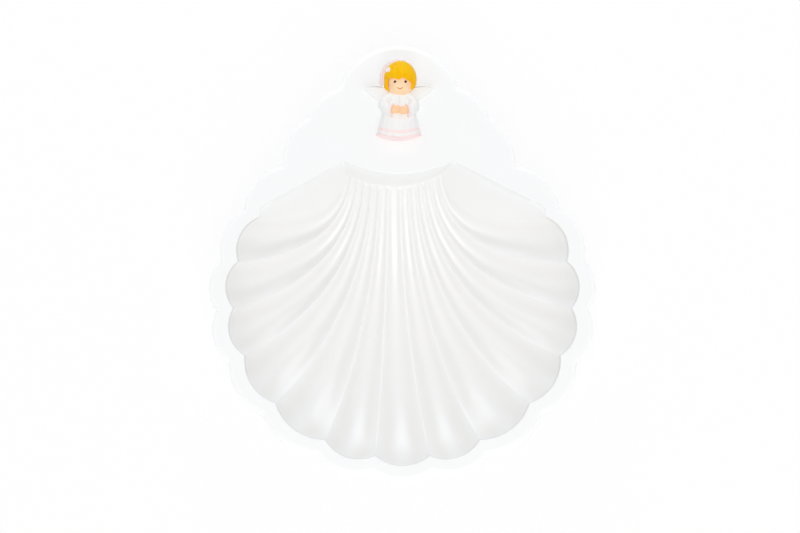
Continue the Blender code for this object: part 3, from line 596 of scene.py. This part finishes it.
def onFigure(x, h, d):  # millimetres on the figure to metres in the frame
    return solid(x, h, d) * mm + hem


robe = {
    "top": 16.2, "hemHalf": 7.3, "hemDepth": 5.4, "hemRise": 1.6, "bandRise": 1.0, "waist": 8.6,
    "waistHalf": 5.5, "waistDepth": 4.4, "neckHalf": 2.8, "neckDepth": 2.4, "pleats": 9, "pleatDepth": 0.022,
    "roll": 0.1, "rollHalf": 0.45, "chestFrom": (9.6, 11.0), "chestTo": (13.6, 14.6), "gathers": 14,
    "gatherDepth": 0.012, "seamSide": 0.3, "seamWidth": 0.16, "seamDepth": 0.16, "collar": (13.7, 14.6),
    "hemEdge": 1.0, "creaseFrom": 2.9, "rows": (9, 34, 36), "front": 121, "back": 20}


def robeSize(h):  # half width and depth: straight flare up to the waist, then a quarter ellipse to the neck
    low = np.clip(h / robe["waist"], 0, 1)
    wide = np.sqrt(1 - np.clip((h - robe["waist"]) / (robe["top"] - robe["waist"]), 0, 1) ** 2)
    sizes = []
    for way in ("Half", "Depth"):
        atHem, atWaist, atNeck = [robe[place + way] for place in ("hem", "waist", "neck")]
        sizes.append(np.where(h < robe["waist"], mix(atHem, atWaist, low), mix(atNeck, atWaist, wide)))
    return sizes


def robeGrid():
    # half-round sections with a flat back; soft pleats fan out below the waist, a seam runs down the chest
    hemRows, skirtRows, chestRows = robe["rows"]
    hemRun = np.linspace(0, robe["hemEdge"], hemRows)[:-1]
    skirtRun = np.linspace(robe["hemEdge"], robe["waist"], skirtRows)[:-1]
    chestRun = mix(robe["waist"], robe["top"], np.sin(np.linspace(0, math.pi / 2, chestRows)))
    h = np.concatenate([hemRun, skirtRun, chestRun])[:, None]
    turn = np.linspace(0, math.pi, robe["front"])
    back = np.linspace(-1, 1, robe["back"] + 2)[1:-1]
    across = np.concatenate([np.cos(turn), back])[None]
    front = np.concatenate([np.sin(turn), 0 * back])[None]
    half, deep = robeSize(h)
    skirt = 1 - np.clip(h / robe["waist"], 0, 1)
    spread = np.arccos(np.clip(across, -1, 1))
    pleat = (0.5 - 0.5 * np.cos(2 * robe["pleats"] * spread)) * np.minimum(front * 3, 1)
    chest = rise(*robe["chestFrom"], h) * (1 - rise(*robe["chestTo"], h)) * (front > 0.5)
    gather = robe["gatherDepth"] * chest * np.cos(robe["gathers"] * spread)
    fold = 1 - robe["pleatDepth"] * pleat * skirt ** 0.7 - gather
    x = half * across * fold
    seam = bell(x - robe["seamSide"], robe["seamWidth"]) * chest
    roll = robe["roll"] * np.clip(1 - ((h - robe["rollHalf"]) / robe["rollHalf"]) ** 2, 0, 1)
    x = x + roll * across
    d = (deep * fold + roll) * front - robe["seamDepth"] * seam
    up = h + robe["hemRise"] * skirt * across ** 2
    waistLine = bell(h - robe["waist"] + 0.2, 0.5) * (np.abs(across) > 0.55)
    # painted shade: grey along the chest seam, at the waist's sides and in the pleat valleys
    crease = seam + 0.35 * waistLine + 0.25 * pleat * skirt * (h > robe["creaseFrom"])
    marks = {"aboveHem": h - robe["bandRise"] * across ** 2, "crease": np.clip(crease, 0, 1),
             "collar": rise(*robe["collar"], h) + 0 * x}
    under = onFigure(0.96 * x[:1], up[:1] + 0.02, 0.96 * d[:1] + 0.02)  # the hem's edge, turned in below
    for key, values in marks.items():
        marks[key] = cappedMark(np.concatenate([values[:1], values]))
    return patch(capped(np.concatenate([under, onFigure(x, up, d)])), **marks)


makePiece("robeBody", [robeGrid()], robeFinish, ["robe"], sharp=60.0)

sleeve = {  # a cap's rows: share of the tube's radius, and how far out the row lies
    "shoulder": (2.8, 14.0, 1.8), "elbow": (6.5, 11.1, 2.4), "wristLeft": (2.6, 8.9, 4.6),
    "wristRight": (3.3, 8.8, 4.5), "facing": (-0.93, -0.18, 0.32), "startRadius": 1.7, "endRadius": 2.1,
    "crinkle": 0.07, "crinkleMiddle": 0.55, "crinkleSpread": 0.3, "creaseShare": 0.2,
    "shoulderCap": ((0.3, 1.2), (0.6, 1.0), (0.8, 0.72), (0.92, 0.4), (0.98, 0.16)),
    "wristCap": ((0.97, 0.1), (0.9, 0.28), (0.75, 0.5), (0.5, 0.62)), "grid": (44, 72)}
cuff = {"ring": 1.95, "half": 0.4, "length": 0.36, "beyond": 0.5, "squareness": 0.75, "ripples": 12,
        "ripple": 0.03, "creaseShare": 0.12, "rows": 25}


def sleeveFrame(side, share):  # quadratic middle line; the sections swing evenly from the arm to the open end
    flip = np.array([side, 1.0, 1.0])
    wrist = "wristLeft" if side < 0 else "wristRight"
    a, b, c = [np.array(sleeve[key]) * flip for key in ("shoulder", "elbow", wrist)]
    t = np.asarray(share)[:, None]
    middle = mix(mix(a, b, t), mix(b, c, t), t)
    first, last = unit(b - a), unit(np.array(sleeve["facing"]) * flip)
    angle = math.acos(float(first @ last))
    along = (np.sin((1 - t) * angle) * first + np.sin(t * angle) * last) / math.sin(angle)
    across = unit(np.stack([along[:, 1], -along[:, 0], 0 * along[:, 0]], axis=-1))
    return middle, along, across, np.cross(along, across)


def sleeveGrid(side):  # tube along the bent arm, crinkled at the elbow and closed round at both ends
    count, columns = sleeve["grid"]
    share = np.linspace(0, 1, count)
    middle, along, across, out = sleeveFrame(side, share)
    turn = fullTurn(columns)[None]
    elbow = bell(share - sleeve["crinkleMiddle"], sleeve["crinkleSpread"])[:, None]
    wave = np.cos(turn * 3 + 9 * share[:, None]) * np.sin(26 * share[:, None])
    radius = mix(sleeve["startRadius"], sleeve["endRadius"], share)[:, None]
    radius = radius + sleeve["crinkle"] * elbow * wave

    def ring(at, size, beyond):  # circles of that size round the middle line, moved on along it
        spokes = across[at, None] * np.cos(turn)[..., None] + out[at, None] * np.sin(turn)[..., None]
        return middle[at, None] + along[at, None] * beyond + size[..., None] * spokes

    first, last = slice(0, 1), slice(-1, None)
    rows = [ring(first, radius[first] * scale, -before) for scale, before in sleeve["shoulderCap"]]
    rows.append(ring(slice(None), radius, 0.0))
    rows += [ring(last, radius[last] * scale, beyond) for scale, beyond in sleeve["wristCap"]]
    grid = capped(np.concatenate(rows))
    crease = np.zeros(grid.shape[:2])
    start = len(sleeve["shoulderCap"]) + 1
    # painted shade in the valleys of the elbow's crinkles
    crease[start:start + count] = np.clip(-wave * elbow, 0, 1) * sleeve["creaseShare"]
    return patch(grid * mm + hem, crease=crease)


def cuffGrid(side):  # rounded band carried round the sleeve's open end
    middle, along, across, out = sleeveFrame(side, [1.0])
    bend = np.linspace(0, 2 * np.pi, cuff["rows"])[:, None, None]
    turn = fullTurn(sleeve["grid"][1])[None, :, None]
    ripple = np.cos(cuff["ripples"] * turn)
    radius = cuff["ring"] + cuff["half"] * signedPower(np.cos(bend), cuff["squareness"])
    radius = radius + cuff["ripple"] * ripple
    beyond = cuff["beyond"] + cuff["length"] * signedPower(np.sin(bend), cuff["squareness"])
    grid = middle + along * beyond + radius * (across * np.cos(turn) + out * np.sin(turn))
    return patch(grid * mm + hem, crease=cuff["creaseShare"] * (1 + ripple[..., 0]))


hand = {
    "shift": 0.4, "middle": (1.15, 9.05, 5.0), "half": (1.65, 1.3, 1.1), "fingers": 4, "groove": 0.15,
    "lean": 0.12, "overlap": 0.12, "squareness": 0.8, "wristPower": 9.0, "tipPower": 2.4, "blush": 0.35,
    "grid": (41, 64)}


def handGrid(side):
    # flattened egg, its long way across the chest, grooved between the fingers; the right hand lies in front
    v = np.linspace(0, np.pi, hand["grid"][0])[:, None]
    turn = fullTurn(hand["grid"][1])[None]
    x = signedPower(np.cos(v), hand["squareness"])
    ring = np.sqrt(np.maximum(1 - np.abs(x) ** np.where(x > 0, hand["wristPower"], hand["tipPower"]), 0.0))
    finger = np.abs(np.sin(turn * hand["fingers"])) ** 0.5
    tips = rise(0.5, -0.3, x)
    size = ring * (1 - hand["groove"] * (1 - finger) * tips)
    lean = hand["lean"] * side
    overlap = hand["overlap"] if side > 0 else 0.0
    middle, half = hand["middle"], hand["half"]
    across = hand["shift"] + side * (middle[0] + half[0] * x)
    up = middle[1] + half[1] * size * np.cos(turn) + lean * x - lean
    out = middle[2] + half[2] * size * np.sin(turn) + overlap * (1 - x)
    # the blush mark gives the hand a warm tone all over, and doubles in the grooves between the fingers as
    # painted shade
    return patch(onFigure(across, up, out), blush=hand["blush"] * (1 + (1 - finger) * tips))


for name, side in (("left", -1.0), ("right", 1.0)):
    makePiece(name + "SleeveTube", [sleeveGrid(side)], whiteFinish, [name + "_sleeve"])
    makePiece(name + "CuffBand", [cuffGrid(side)], pinkFinish, [name + "_cuff"])
    makePiece(name + "FoldedHand", [handGrid(side)], handFinish, [name + "_hand"])
print("robe, sleeves, cuffs and hands made")

head = {  # nose and cheek: out, up and height
    "side": 0.5, "h": 18.8, "d": 2.2, "half": (4.2, 4.9, 3.9), "nose": (0.15, -1.25, 0.28), "noseSize": 0.34,
    "cheek": (2.2, -1.75, 0.16), "cheekArea": 1.1, "eyeOut": 1.71, "eyeUp": -0.7, "eyeRadius": 0.43,
    "eyeHeight": 0.13, "eyeSunk": -0.15, "eyeLift": 0.01, "mouthSide": -0.1, "mouthHalf": 1.03,
    "mouthUp": -2.4, "mouthSag": 0.5, "mouthRadius": 0.17, "mouthFlat": 0.6, "grid": (73, 120)}


def onNeck(x, h, d):  # the head and what it wears sit a little right of the robe's middle
    return onFigure(x + head["side"], h, d)


def faceRelief(x, up):  # nose and cheeks as bell-shaped swellings
    noseOut, noseUp, noseHeight = head["nose"]
    cheekOut, cheekUp, cheekHeight = head["cheek"]
    nose = noseHeight * np.exp(-((x - noseOut) ** 2 + (up - noseUp) ** 2) / head["noseSize"] ** 2)
    cheek = cheekHeight * np.exp(-((np.abs(x) - cheekOut) ** 2 + (up - cheekUp) ** 2) / head["cheekArea"])
    return nose + cheek


def faceDepth(x, up):  # depth of the face at a place given from the middle of the head
    a, b, c = head["half"]
    return head["d"] + c * np.sqrt(np.maximum(1 - (x / a) ** 2 - (up / b) ** 2, 0.0)) + faceRelief(x, up)


def headGrid():  # egg with nose and cheeks, flat where it is glued down; blush on cheeks and nose, and painted shade under the chin
    v = np.linspace(0, np.pi, head["grid"][0])[:, None]
    turn = fullTurn(head["grid"][1])[None]
    a, b, c = head["half"]
    x, up = a * np.sin(v) * np.cos(turn), b * np.cos(v) + 0 * turn
    d = head["d"] + c * np.sin(v) * np.sin(turn)
    front = rise(0.0, 0.5, np.sin(turn) * np.sin(v))
    d = np.maximum(d + faceRelief(x, up) * front, 0.0)
    cheeks = 0.4 * np.exp(-((np.abs(x) - 2.5) ** 2 / 0.8 + (up + 1.7) ** 2 / 0.7))
    # painted shade along the lower edge of the chin
    chinShade = 0.35 * rise(-3.2, -4.3, up)
    nose = 0.25 * np.exp(-((x - 0.1) ** 2 + (up + 1.6) ** 2) / 0.12)
    return patch(onNeck(x, head["h"] + up, d), blush=np.clip(cheeks + chinShade + nose, 0, 1) * front)


def eyeGrid(side):  # low round dot of paint: half an ellipse turned round, with its rim sunk into the face
    dome = np.array([0.0, 0.2, 0.4, 0.6, 0.78, 0.9, 0.97, 1.0])
    r = np.append(dome, [1.0, 0.0])[:, None]
    lift = np.append(head["eyeHeight"] * np.sqrt(1 - dome ** 2), [head["eyeSunk"]] * 2)[:, None]
    turn = fullTurn(40)[None]
    x = side * head["eyeOut"] + head["eyeRadius"] * r * np.cos(turn)
    up = head["eyeUp"] + head["eyeRadius"] * r * np.sin(turn)
    return patch(onNeck(x, head["h"] + up, faceDepth(x, up) + lift + head["eyeLift"]))


def mouthGrid():  # thin bead of paint along a parabola on the face
    t = np.linspace(-1, 1, 41)[:, None]
    turn = fullTurn(16)[None]
    thick = head["mouthRadius"] * np.sqrt(np.maximum(1 - t ** 6, 0.0)) * (1 - 0.25 * t ** 2)
    x = head["mouthSide"] + head["mouthHalf"] * t + 0 * turn
    up = head["mouthUp"] - head["mouthSag"] * (1 - t ** 2) + thick * np.cos(turn)
    d = faceDepth(x, up) + head["mouthFlat"] * thick * np.sin(turn)
    return patch(capped(onNeck(x, head["h"] + up, d)))


makePiece("headFace", [headGrid()], skinFinish, ["head"])
makePiece("leftEye", [eyeGrid(-1.0)], eyeFinish)
makePiece("rightEye", [eyeGrid(1.0)], eyeFinish)
makePiece("smile", [mouthGrid()], mouthFinish)

hair = {  # rows: down the outside, round the edge, and back inside
    "h": 19.9, "d": 2.2, "half": (5.2, 5.9, 4.9), "back": 1.9, "thick": 0.75, "strands": 13, "groove": 0.07,
    "fineGroove": 0.02, "fringe": -0.5, "lockTip": -4.1, "flare": 0.55, "edgeBulge": 0.035,
    "rows": (52, 5, 14), "around": 240}


def hairEnd(turn):  # polar angle of the hair's edge all round: fringe in front, locks at the sides and back
    out = np.cos(turn)
    x = hair["half"][0] * out
    leftLock = 0.8 * rise(-3.2, -0.15, x) * (1 - rise(-0.1, 0.4, x))
    rightSweep = 1.45 * np.clip((x - 0.2) / 3.9, 0, 1) ** 1.4
    nicks = 0.12 * np.abs(np.sin(5.5 * x))
    fringe = hair["fringe"] - leftLock - rightSweep + nicks
    lock = hair["lockTip"] + 1.0 * rise(0.84, 1.0, np.abs(out)) + 0.12 * np.abs(np.sin(9 * turn))
    side = np.where(np.sin(turn) > 0, rise(0.84, 0.9, np.abs(out)), 1.0)
    return np.arccos(np.clip(mix(fringe, lock, side) / hair["half"][1], -1, 1))


def hairGrid():  # cap combed from the crown: polar rows from the pole to the edge, round it, and back inside
    outer, edge, inner = hair["rows"]
    turn = fullTurn(hair["around"])[None]
    end = hairEnd(turn)
    over = np.linspace(0, math.pi, edge + 2)[1:-1]
    q = [np.sin(np.linspace(0, math.pi / 2, outer)), np.ones(edge), np.linspace(1, 0, inner)]
    q = np.concatenate(q)[:, None]
    inward = np.concatenate([np.zeros(outer), (1 - np.cos(over)) / 2, np.ones(inner)])[:, None]
    bulge = np.concatenate([np.zeros(outer), np.sin(over), np.zeros(inner)])[:, None]
    v = end * q + hair["edgeBulge"] * bulge
    below = np.maximum(v - np.pi / 2, 0.0)
    wide = np.where(v < np.pi / 2, np.sin(v), 1 - 0.35 * (below / 0.925) ** 2)
    strand = np.abs(np.sin(hair["strands"] * turn + 1.6 * np.sin(3 * turn + 0.7) + 0.9 * np.sin(2.2 * v)))
    fine = np.sin(61 * turn + 3 * np.sin(2 * turn) + 2 * v)
    combed = rise(0.15, 0.9, v) * (1 - inward)
    sink = (hair["groove"] * (1 - strand ** 0.6) + hair["fineGroove"] * fine) * combed
    sink = sink + hair["thick"] * inward
    a, b, c = hair["half"]
    flare = hair["flare"] * rise(1.75, 2.15, v) * rise(0.5, 0.9, -np.cos(turn)) * (1 - rise(2.25, 2.5, v))
    x = (a - sink) * wide * np.cos(turn) - flare
    h = hair["h"] + (b - sink) * np.cos(v)
    d = np.maximum(hair["d"] + (c - sink) * wide * np.sin(turn), hair["back"] + 0.3 * inward)
    # the groove mark is painted shade between the strands
    return patch(onNeck(x, h, d), groove=(1 - strand) * combed, ends=rise(0.75, 1.0, q))


makePiece("hairCap", [hairGrid()], hairFinish, ["hair"], sharp=70.0)

veil = {
    "half": (6.2, 6.9), "shift": -0.6, "low": 17.8, "inner": 0.6, "d": 1.45, "thick": 0.5, "fold": 0.2,
    "foldStart": 0.62, "foldWidth": 0.115, "ripples": 16, "ripple": 0.12, "scallop": 0.012, "grid": (141, 40)}


def veilGrid():  # arch behind the hair; its hanging left end lies in upright folds
    rows, across = veil["grid"]
    start = math.asin((veil["low"] - hair["h"]) / veil["half"][1])
    turn = np.linspace(start, math.pi - start, rows)[:, None]
    r = np.concatenate([np.linspace(veil["inner"], 1, across), np.linspace(1, veil["inner"], across)])[None]
    face = np.repeat([1.0, -1.0], across)[None]
    left = rise(1.9, 2.7, turn)
    rim = np.clip((1 - r) / 0.04, 0, 1) ** 0.5
    wave = np.sin(2 * np.pi * (r - veil["foldStart"]) / veil["foldWidth"] + 0.5 * np.sin(4 * turn))
    ripple = np.sin(veil["ripples"] * turn) * rise(0.8, 1.0, r)
    half = veil["thick"] / 2 * (0.35 + 0.65 * rim)
    d = veil["d"] + veil["fold"] * wave * left + veil["ripple"] * ripple + face * half
    reach = r * (1 + veil["scallop"] * ripple) - veil["scallop"]
    x = veil["half"][0] * reach * np.cos(turn) + veil["shift"]
    h = hair["h"] + veil["half"][1] * reach * np.sin(turn)
    # painted shade: the fold valleys of the hanging end turn pinker and darker
    return patch(capped(onNeck(x, h, d)), crease=cappedMark(np.clip(-wave, 0, 1) * left * 0.3))


makePiece("veilArch", [veilGrid()], veilFinish, ["veil"])

flower = {"out": -3.8, "up": 2.2, "radius": 0.9, "cut": 0.26, "petals": 5, "groove": 0.16, "lean": 0.55,
          "around": 150}
bead = {"radius": 0.4, "flat": 0.9, "base": 0.38, "collar": 0.25, "crease": 0.35, "grid": (12, 48)}


def flowerFrame():  # where the flower sits on the hair, and the three directions of its disc
    a, b, c = hair["half"]
    place = np.array([flower["out"], flower["up"], 0.0])
    place[2] = c * math.sqrt(1 - (place[0] / a) ** 2 - (place[1] / b) ** 2)
    facing = unit(unit(place / np.array([a, b, c]) ** 2) + np.array([0.0, 0.0, flower["lean"]]))
    right = unit(np.cross(np.array([0.0, 1.0, 0.0]), facing))
    return place + np.array([head["side"], hair["h"], hair["d"]]), right, np.cross(facing, right), facing


def onFlower(x, y, z):  # millimetres on the disc to metres in the frame
    place, right, up, facing = flowerFrame()
    return (place + x[..., None] * right + y[..., None] * up + z[..., None] * facing) * mm + hem


def petalGrid():  # disc whose edge swells into petals, dished in the middle and grooved between them
    r = np.array([0, 0.12, 0.25, 0.38, 0.5, 0.62, 0.74, 0.84, 0.92, 0.98, 1.0, 1.0, 0.95, 0.0])[:, None]
    high = [0.3, 0.31, 0.34, 0.39, 0.45, 0.5, 0.54, 0.55, 0.52, 0.45, 0.34, 0.22, 0.05, 0.0]
    high = np.array(high)[:, None]
    turn = fullTurn(flower["around"])[None]
    petal = np.abs(np.sin(flower["petals"] * turn / 2)) ** 0.7
    radius = flower["radius"] - flower["cut"] * (1 - petal)
    z = high - flower["groove"] * (1 - petal) * np.sin(np.pi * np.clip(r, 0, 1)) * (high > 0.25)
    # painted shade between the petals and towards the bead in the middle
    crease = 0.5 * np.clip((1 - petal) * 0.35 + 0.25 * (1 - r), 0, 0.6)
    return patch(onFlower(radius * r * np.cos(turn), radius * r * np.sin(turn), z), crease=crease)


def beadGrid():  # dome on a short collar in the middle of the petals
    bend = np.linspace(0, math.pi / 2, bead["grid"][0])[:, None]
    turn = fullTurn(bead["grid"][1])[None]
    r = np.concatenate([np.sin(bend), [[1.0], [0.0]]]) * bead["radius"]
    dome = np.cos(bend) * bead["radius"] * bead["flat"] + bead["base"]
    z = np.concatenate([dome, [[bead["collar"]], [bead["collar"]]]]) + 0 * turn
    return patch(onFlower(r * np.cos(turn), r * np.sin(turn), z), crease=bead["crease"])


makePiece("hairFlowerPetals", [petalGrid()], whiteFinish, ["hair_flower"])
makePiece("flowerBeadDome", [beadGrid()], pinkFinish, ["flower_bead"])

wing = {
    "span": 11.4, "tip": 17.2, "root": 4.8, "rootTop": 17.6, "rootLow": 12.6, "bridgeLeft": 2.8,
    "bridgeRight": 3.4, "neckBend": 0.35, "bridgeTop": 13.2, "bridgeLow": 11.4, "topBow": 0.5, "lowBow": 0.6,
    "thick": 1.0, "feathers": 5, "featherBow": 0.16, "split": 0.05, "roll": 0.12, "gutter": 0.06,
    "tipThinning": 0.55, "rows": 201, "front": 48, "back": 12}


def wingGrid():
    # one plate across both wings: an upper and a lower edge over the way out from the middle, the face
    # swelling between them, with a rolled upper edge and grooves that split the feathers
    s = np.sin(np.linspace(-math.pi / 2, math.pi / 2, wing["rows"]))[:, None]
    out = np.abs(s) * wing["span"]
    q = np.clip((out - wing["root"]) / (wing["span"] - wing["root"]), 0, 1)
    bridge = np.where(s < 0, wing["bridgeLeft"], wing["bridgeRight"])
    neck = np.clip((out - bridge) / (wing["root"] - bridge), 0, 1) ** wing["neckBend"]
    arch = 4 * q * (1 - q)
    upper = mix(mix(wing["bridgeTop"], wing["rootTop"], neck), wing["tip"], q) + wing["topBow"] * arch
    lower = mix(mix(wing["bridgeLow"], wing["rootLow"], neck), wing["tip"], q) - wing["lowBow"] * arch
    lower = lower - wing["featherBow"] * np.abs(np.sin(wing["feathers"] * np.pi * q)) * arch
    t = np.concatenate([np.linspace(0, 1, wing["front"]), np.linspace(1, 0, wing["back"])])[None]
    face = np.repeat([1.0, 0.0], [wing["front"], wing["back"]])[None]
    swell = 0.5 + 0.4 * np.sqrt(np.maximum(1 - (2 * t - 1) ** 2, 0.0))
    line = (t * 0.75 + 0.5 * q) * wing["feathers"]
    split = bell((line % 1.0) - 0.5, 0.11) * rise(0.06, 0.3, q) * (1 - rise(0.72, 0.86, t))
    roll = bell(t - 0.93, 0.06)
    gutter = bell(t - 0.83, 0.035)
    relief = swell - wing["split"] * split + wing["roll"] * roll - wing["gutter"] * gutter
    d = face * wing["thick"] * (1 - wing["tipThinning"] * q ** 4) * relief
    # painted shade: a dark line along the rolled upper edge, fainter in the feather splits and the gutter
    edge = rise(0.9, 0.96, t) * face * rise(0.0, 0.15, q)
    crease = np.clip(0.05 * split + 0.06 * gutter * rise(0, 0.2, q) + 0.85 * edge, 0, 1)
    grid = onFigure(np.sign(s) * out + 0 * t, mix(lower, upper, t), d)
    return patch(capped(grid), crease=cappedMark(crease))


makePiece("wingPlate", [wingGrid()], wingFinish, ["wing_pair"])
for name in ("robe_glue_pad", "head_glue_pad"):
    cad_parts[name].data.materials.clear()
    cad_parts[name].data.materials.append(glueFinish)
print("head, hair, veil, flower and wings made")


studio = {"world": 0.51, "mirrored": 0.8, "floorGlow": 0.9, "floorHalf": 3.0, "floorDrop": 0.02 * mm,
          "floor": {"Base Color": (0.95, 0.95, 0.95, 1), "Roughness": 0.9, "Specular IOR Level": 0.0}}
sideLamp = {"aim": (0.0, 0.0, 0.015), "size": (0.5, 0.4), "watts": 0.4, "colour": (0.97, 0.985, 1.0)}
lamps = [  # places, aims and sizes in metres; where shadowOf is dish, the figure throws no shadow
    {"name": "overhead", "place": (0.04, -0.45, 0.92), "aim": (0.0, 0.0, 0.02), "size": (0.5, 0.5),
     "watts": 3.0, "colour": (1.0, 0.995, 0.985), "shadowOf": "dish"},
    {"name": "leftSide", "place": (-0.6, 0.1, 0.42), **sideLamp},
    {"name": "rightSide", "place": (0.6, 0.1, 0.42), **sideLamp},
    {"name": "front", "place": (0.08, -1.2, 0.8), "aim": (0.0, 0.0, 0.02), "size": (0.9, 0.6),
     "watts": 3.3, "colour": (1.0, 0.99, 0.975)},
    {"name": "backWindow", "place": (-0.04, 0.62, 0.27), "aim": (0.0, -0.02, 0.015), "size": (0.5, 0.46),
     "watts": 1.55, "colour": (0.93, 0.965, 1.0), "shadowOf": "dish"}]
strips = {"count": 4, "away": 0.6, "height": 0.011}
strip = {"aim": (0.0, 0.0, strips["height"]), "size": (1.1, 0.018), "watts": 0.45, "colour": (1.0, 1.0, 1.0),
         "lights": "dish"}
for index, turn in enumerate(fullTurn(strips["count"])):  # low strips all round, which light the dish alone
    spot = (strips["away"] * math.sin(turn), -strips["away"] * math.cos(turn), strips["height"])
    lamps.append({"name": "edge" + str(index), "place": spot, **strip})
dishPieces = bpy.data.collections.new("dishPieces")
for piece in (shellDish, footRing):
    dishPieces.objects.link(piece)


def rayWires(tree):  # three wires: 1 on rays from the camera, on mirrored rays, and on rays through glass
    rays = tree.nodes.new("ShaderNodeLightPath")
    return [Wire(tree, rays.outputs[f"Is {kind} Ray"]) for kind in ("Camera", "Glossy", "Transmission")]


def whiteRoom():  # even white light; seen directly it is plain white, and a little dimmer in a reflection
    world = bpy.data.worlds.new("whiteRoom")
    world.use_nodes = True
    bpy.context.scene.world = world
    back = world.node_tree.nodes["Background"]
    direct, mirrored, through = rayWires(world.node_tree)
    strength = direct.larger(through).larger(mirrored * studio["mirrored"]).larger(studio["world"])
    back.inputs["Color"].default_value = (1, 1, 1, 1)
    plug(world.node_tree, back.inputs["Strength"], strength)


def paleFloor():  # white sheet; part of what the camera sees is plain white, and the rest keeps the shadow
    half, z = studio["floorHalf"], -studio["floorDrop"]
    corners = [(-half, -half, z), (half, -half, z), (half, half, z), (-half, half, z)]
    mesh = bpy.data.meshes.new("paleFloor")
    mesh.from_pydata(corners, [], [(0, 1, 2, 3)])
    floor = show("paleFloor", mesh)
    finish = Finish("floorSheet", studio["floor"])
    direct, mirrored, through = rayWires(finish.tree)
    share = direct.larger(mirrored).larger(through) * studio["floorGlow"]
    sheet = Wire(finish.tree, finish.shader.outputs[0])
    glow = finish.node("ShaderNodeEmission", {}, {"Color": (1, 1, 1, 1), "Strength": 1.0})
    both = finish.node("ShaderNodeMixShader", {}, {0: share, 1: sheet, 2: glow})
    plug(finish.tree, finish.tree.nodes["Material Output"].inputs["Surface"], both)
    mesh.materials.append(finish.material)


def addLamp(lamp):  # flat lamp, turned to its aim; one that lights the dish alone isn't mirrored in it either
    light = bpy.data.lights.new(lamp["name"], "AREA")
    light.shape = "RECTANGLE"
    light.size, light.size_y = lamp["size"]
    light.energy = lamp["watts"]
    light.color = lamp["colour"]
    holder = show(lamp["name"], light)
    holder.location = lamp["place"]
    holder.rotation_euler = (Vector(lamp["aim"]) - Vector(lamp["place"])).to_track_quat("-Z", "Y").to_euler()
    if lamp.get("shadowOf") == "dish":
        holder.light_linking.blocker_collection = dishPieces
    if lamp.get("lights") == "dish":
        holder.light_linking.receiver_collection = dishPieces
        holder.visible_glossy = False


shot = {"elevation": math.radians(80.0), "distance": 0.7, "lens": 99.2, "sensor": 36.0, "clip": (0.01, 20.0),
        "right": -0.0008, "up": 0.00537}


def setCamera():  # looks down on the rim from the front, a little off its middle
    eye = Vector((0.0, -math.cos(shot["elevation"]), math.sin(shot["elevation"])))
    up = Vector((0.0, math.sin(shot["elevation"]), math.cos(shot["elevation"])))
    aim = Vector(rimTop) + Vector((shot["right"], 0.0, 0.0)) + up * shot["up"]
    data = bpy.data.cameras.new("shot")
    data.sensor_width = shot["sensor"]
    data.lens = shot["lens"]
    data.clip_start, data.clip_end = shot["clip"]
    camera = show("shot", data)
    camera.location = aim + eye * shot["distance"]
    camera.rotation_euler = (-eye).to_track_quat("-Z", "Y").to_euler()
    bpy.context.scene.camera = camera


whiteRoom()
paleFloor()
for lamp in lamps:
    addLamp(lamp)
setCamera()
bpy.context.scene.view_settings.view_transform = "Standard"
print("studio set")

bpy.context.view_layer.update()
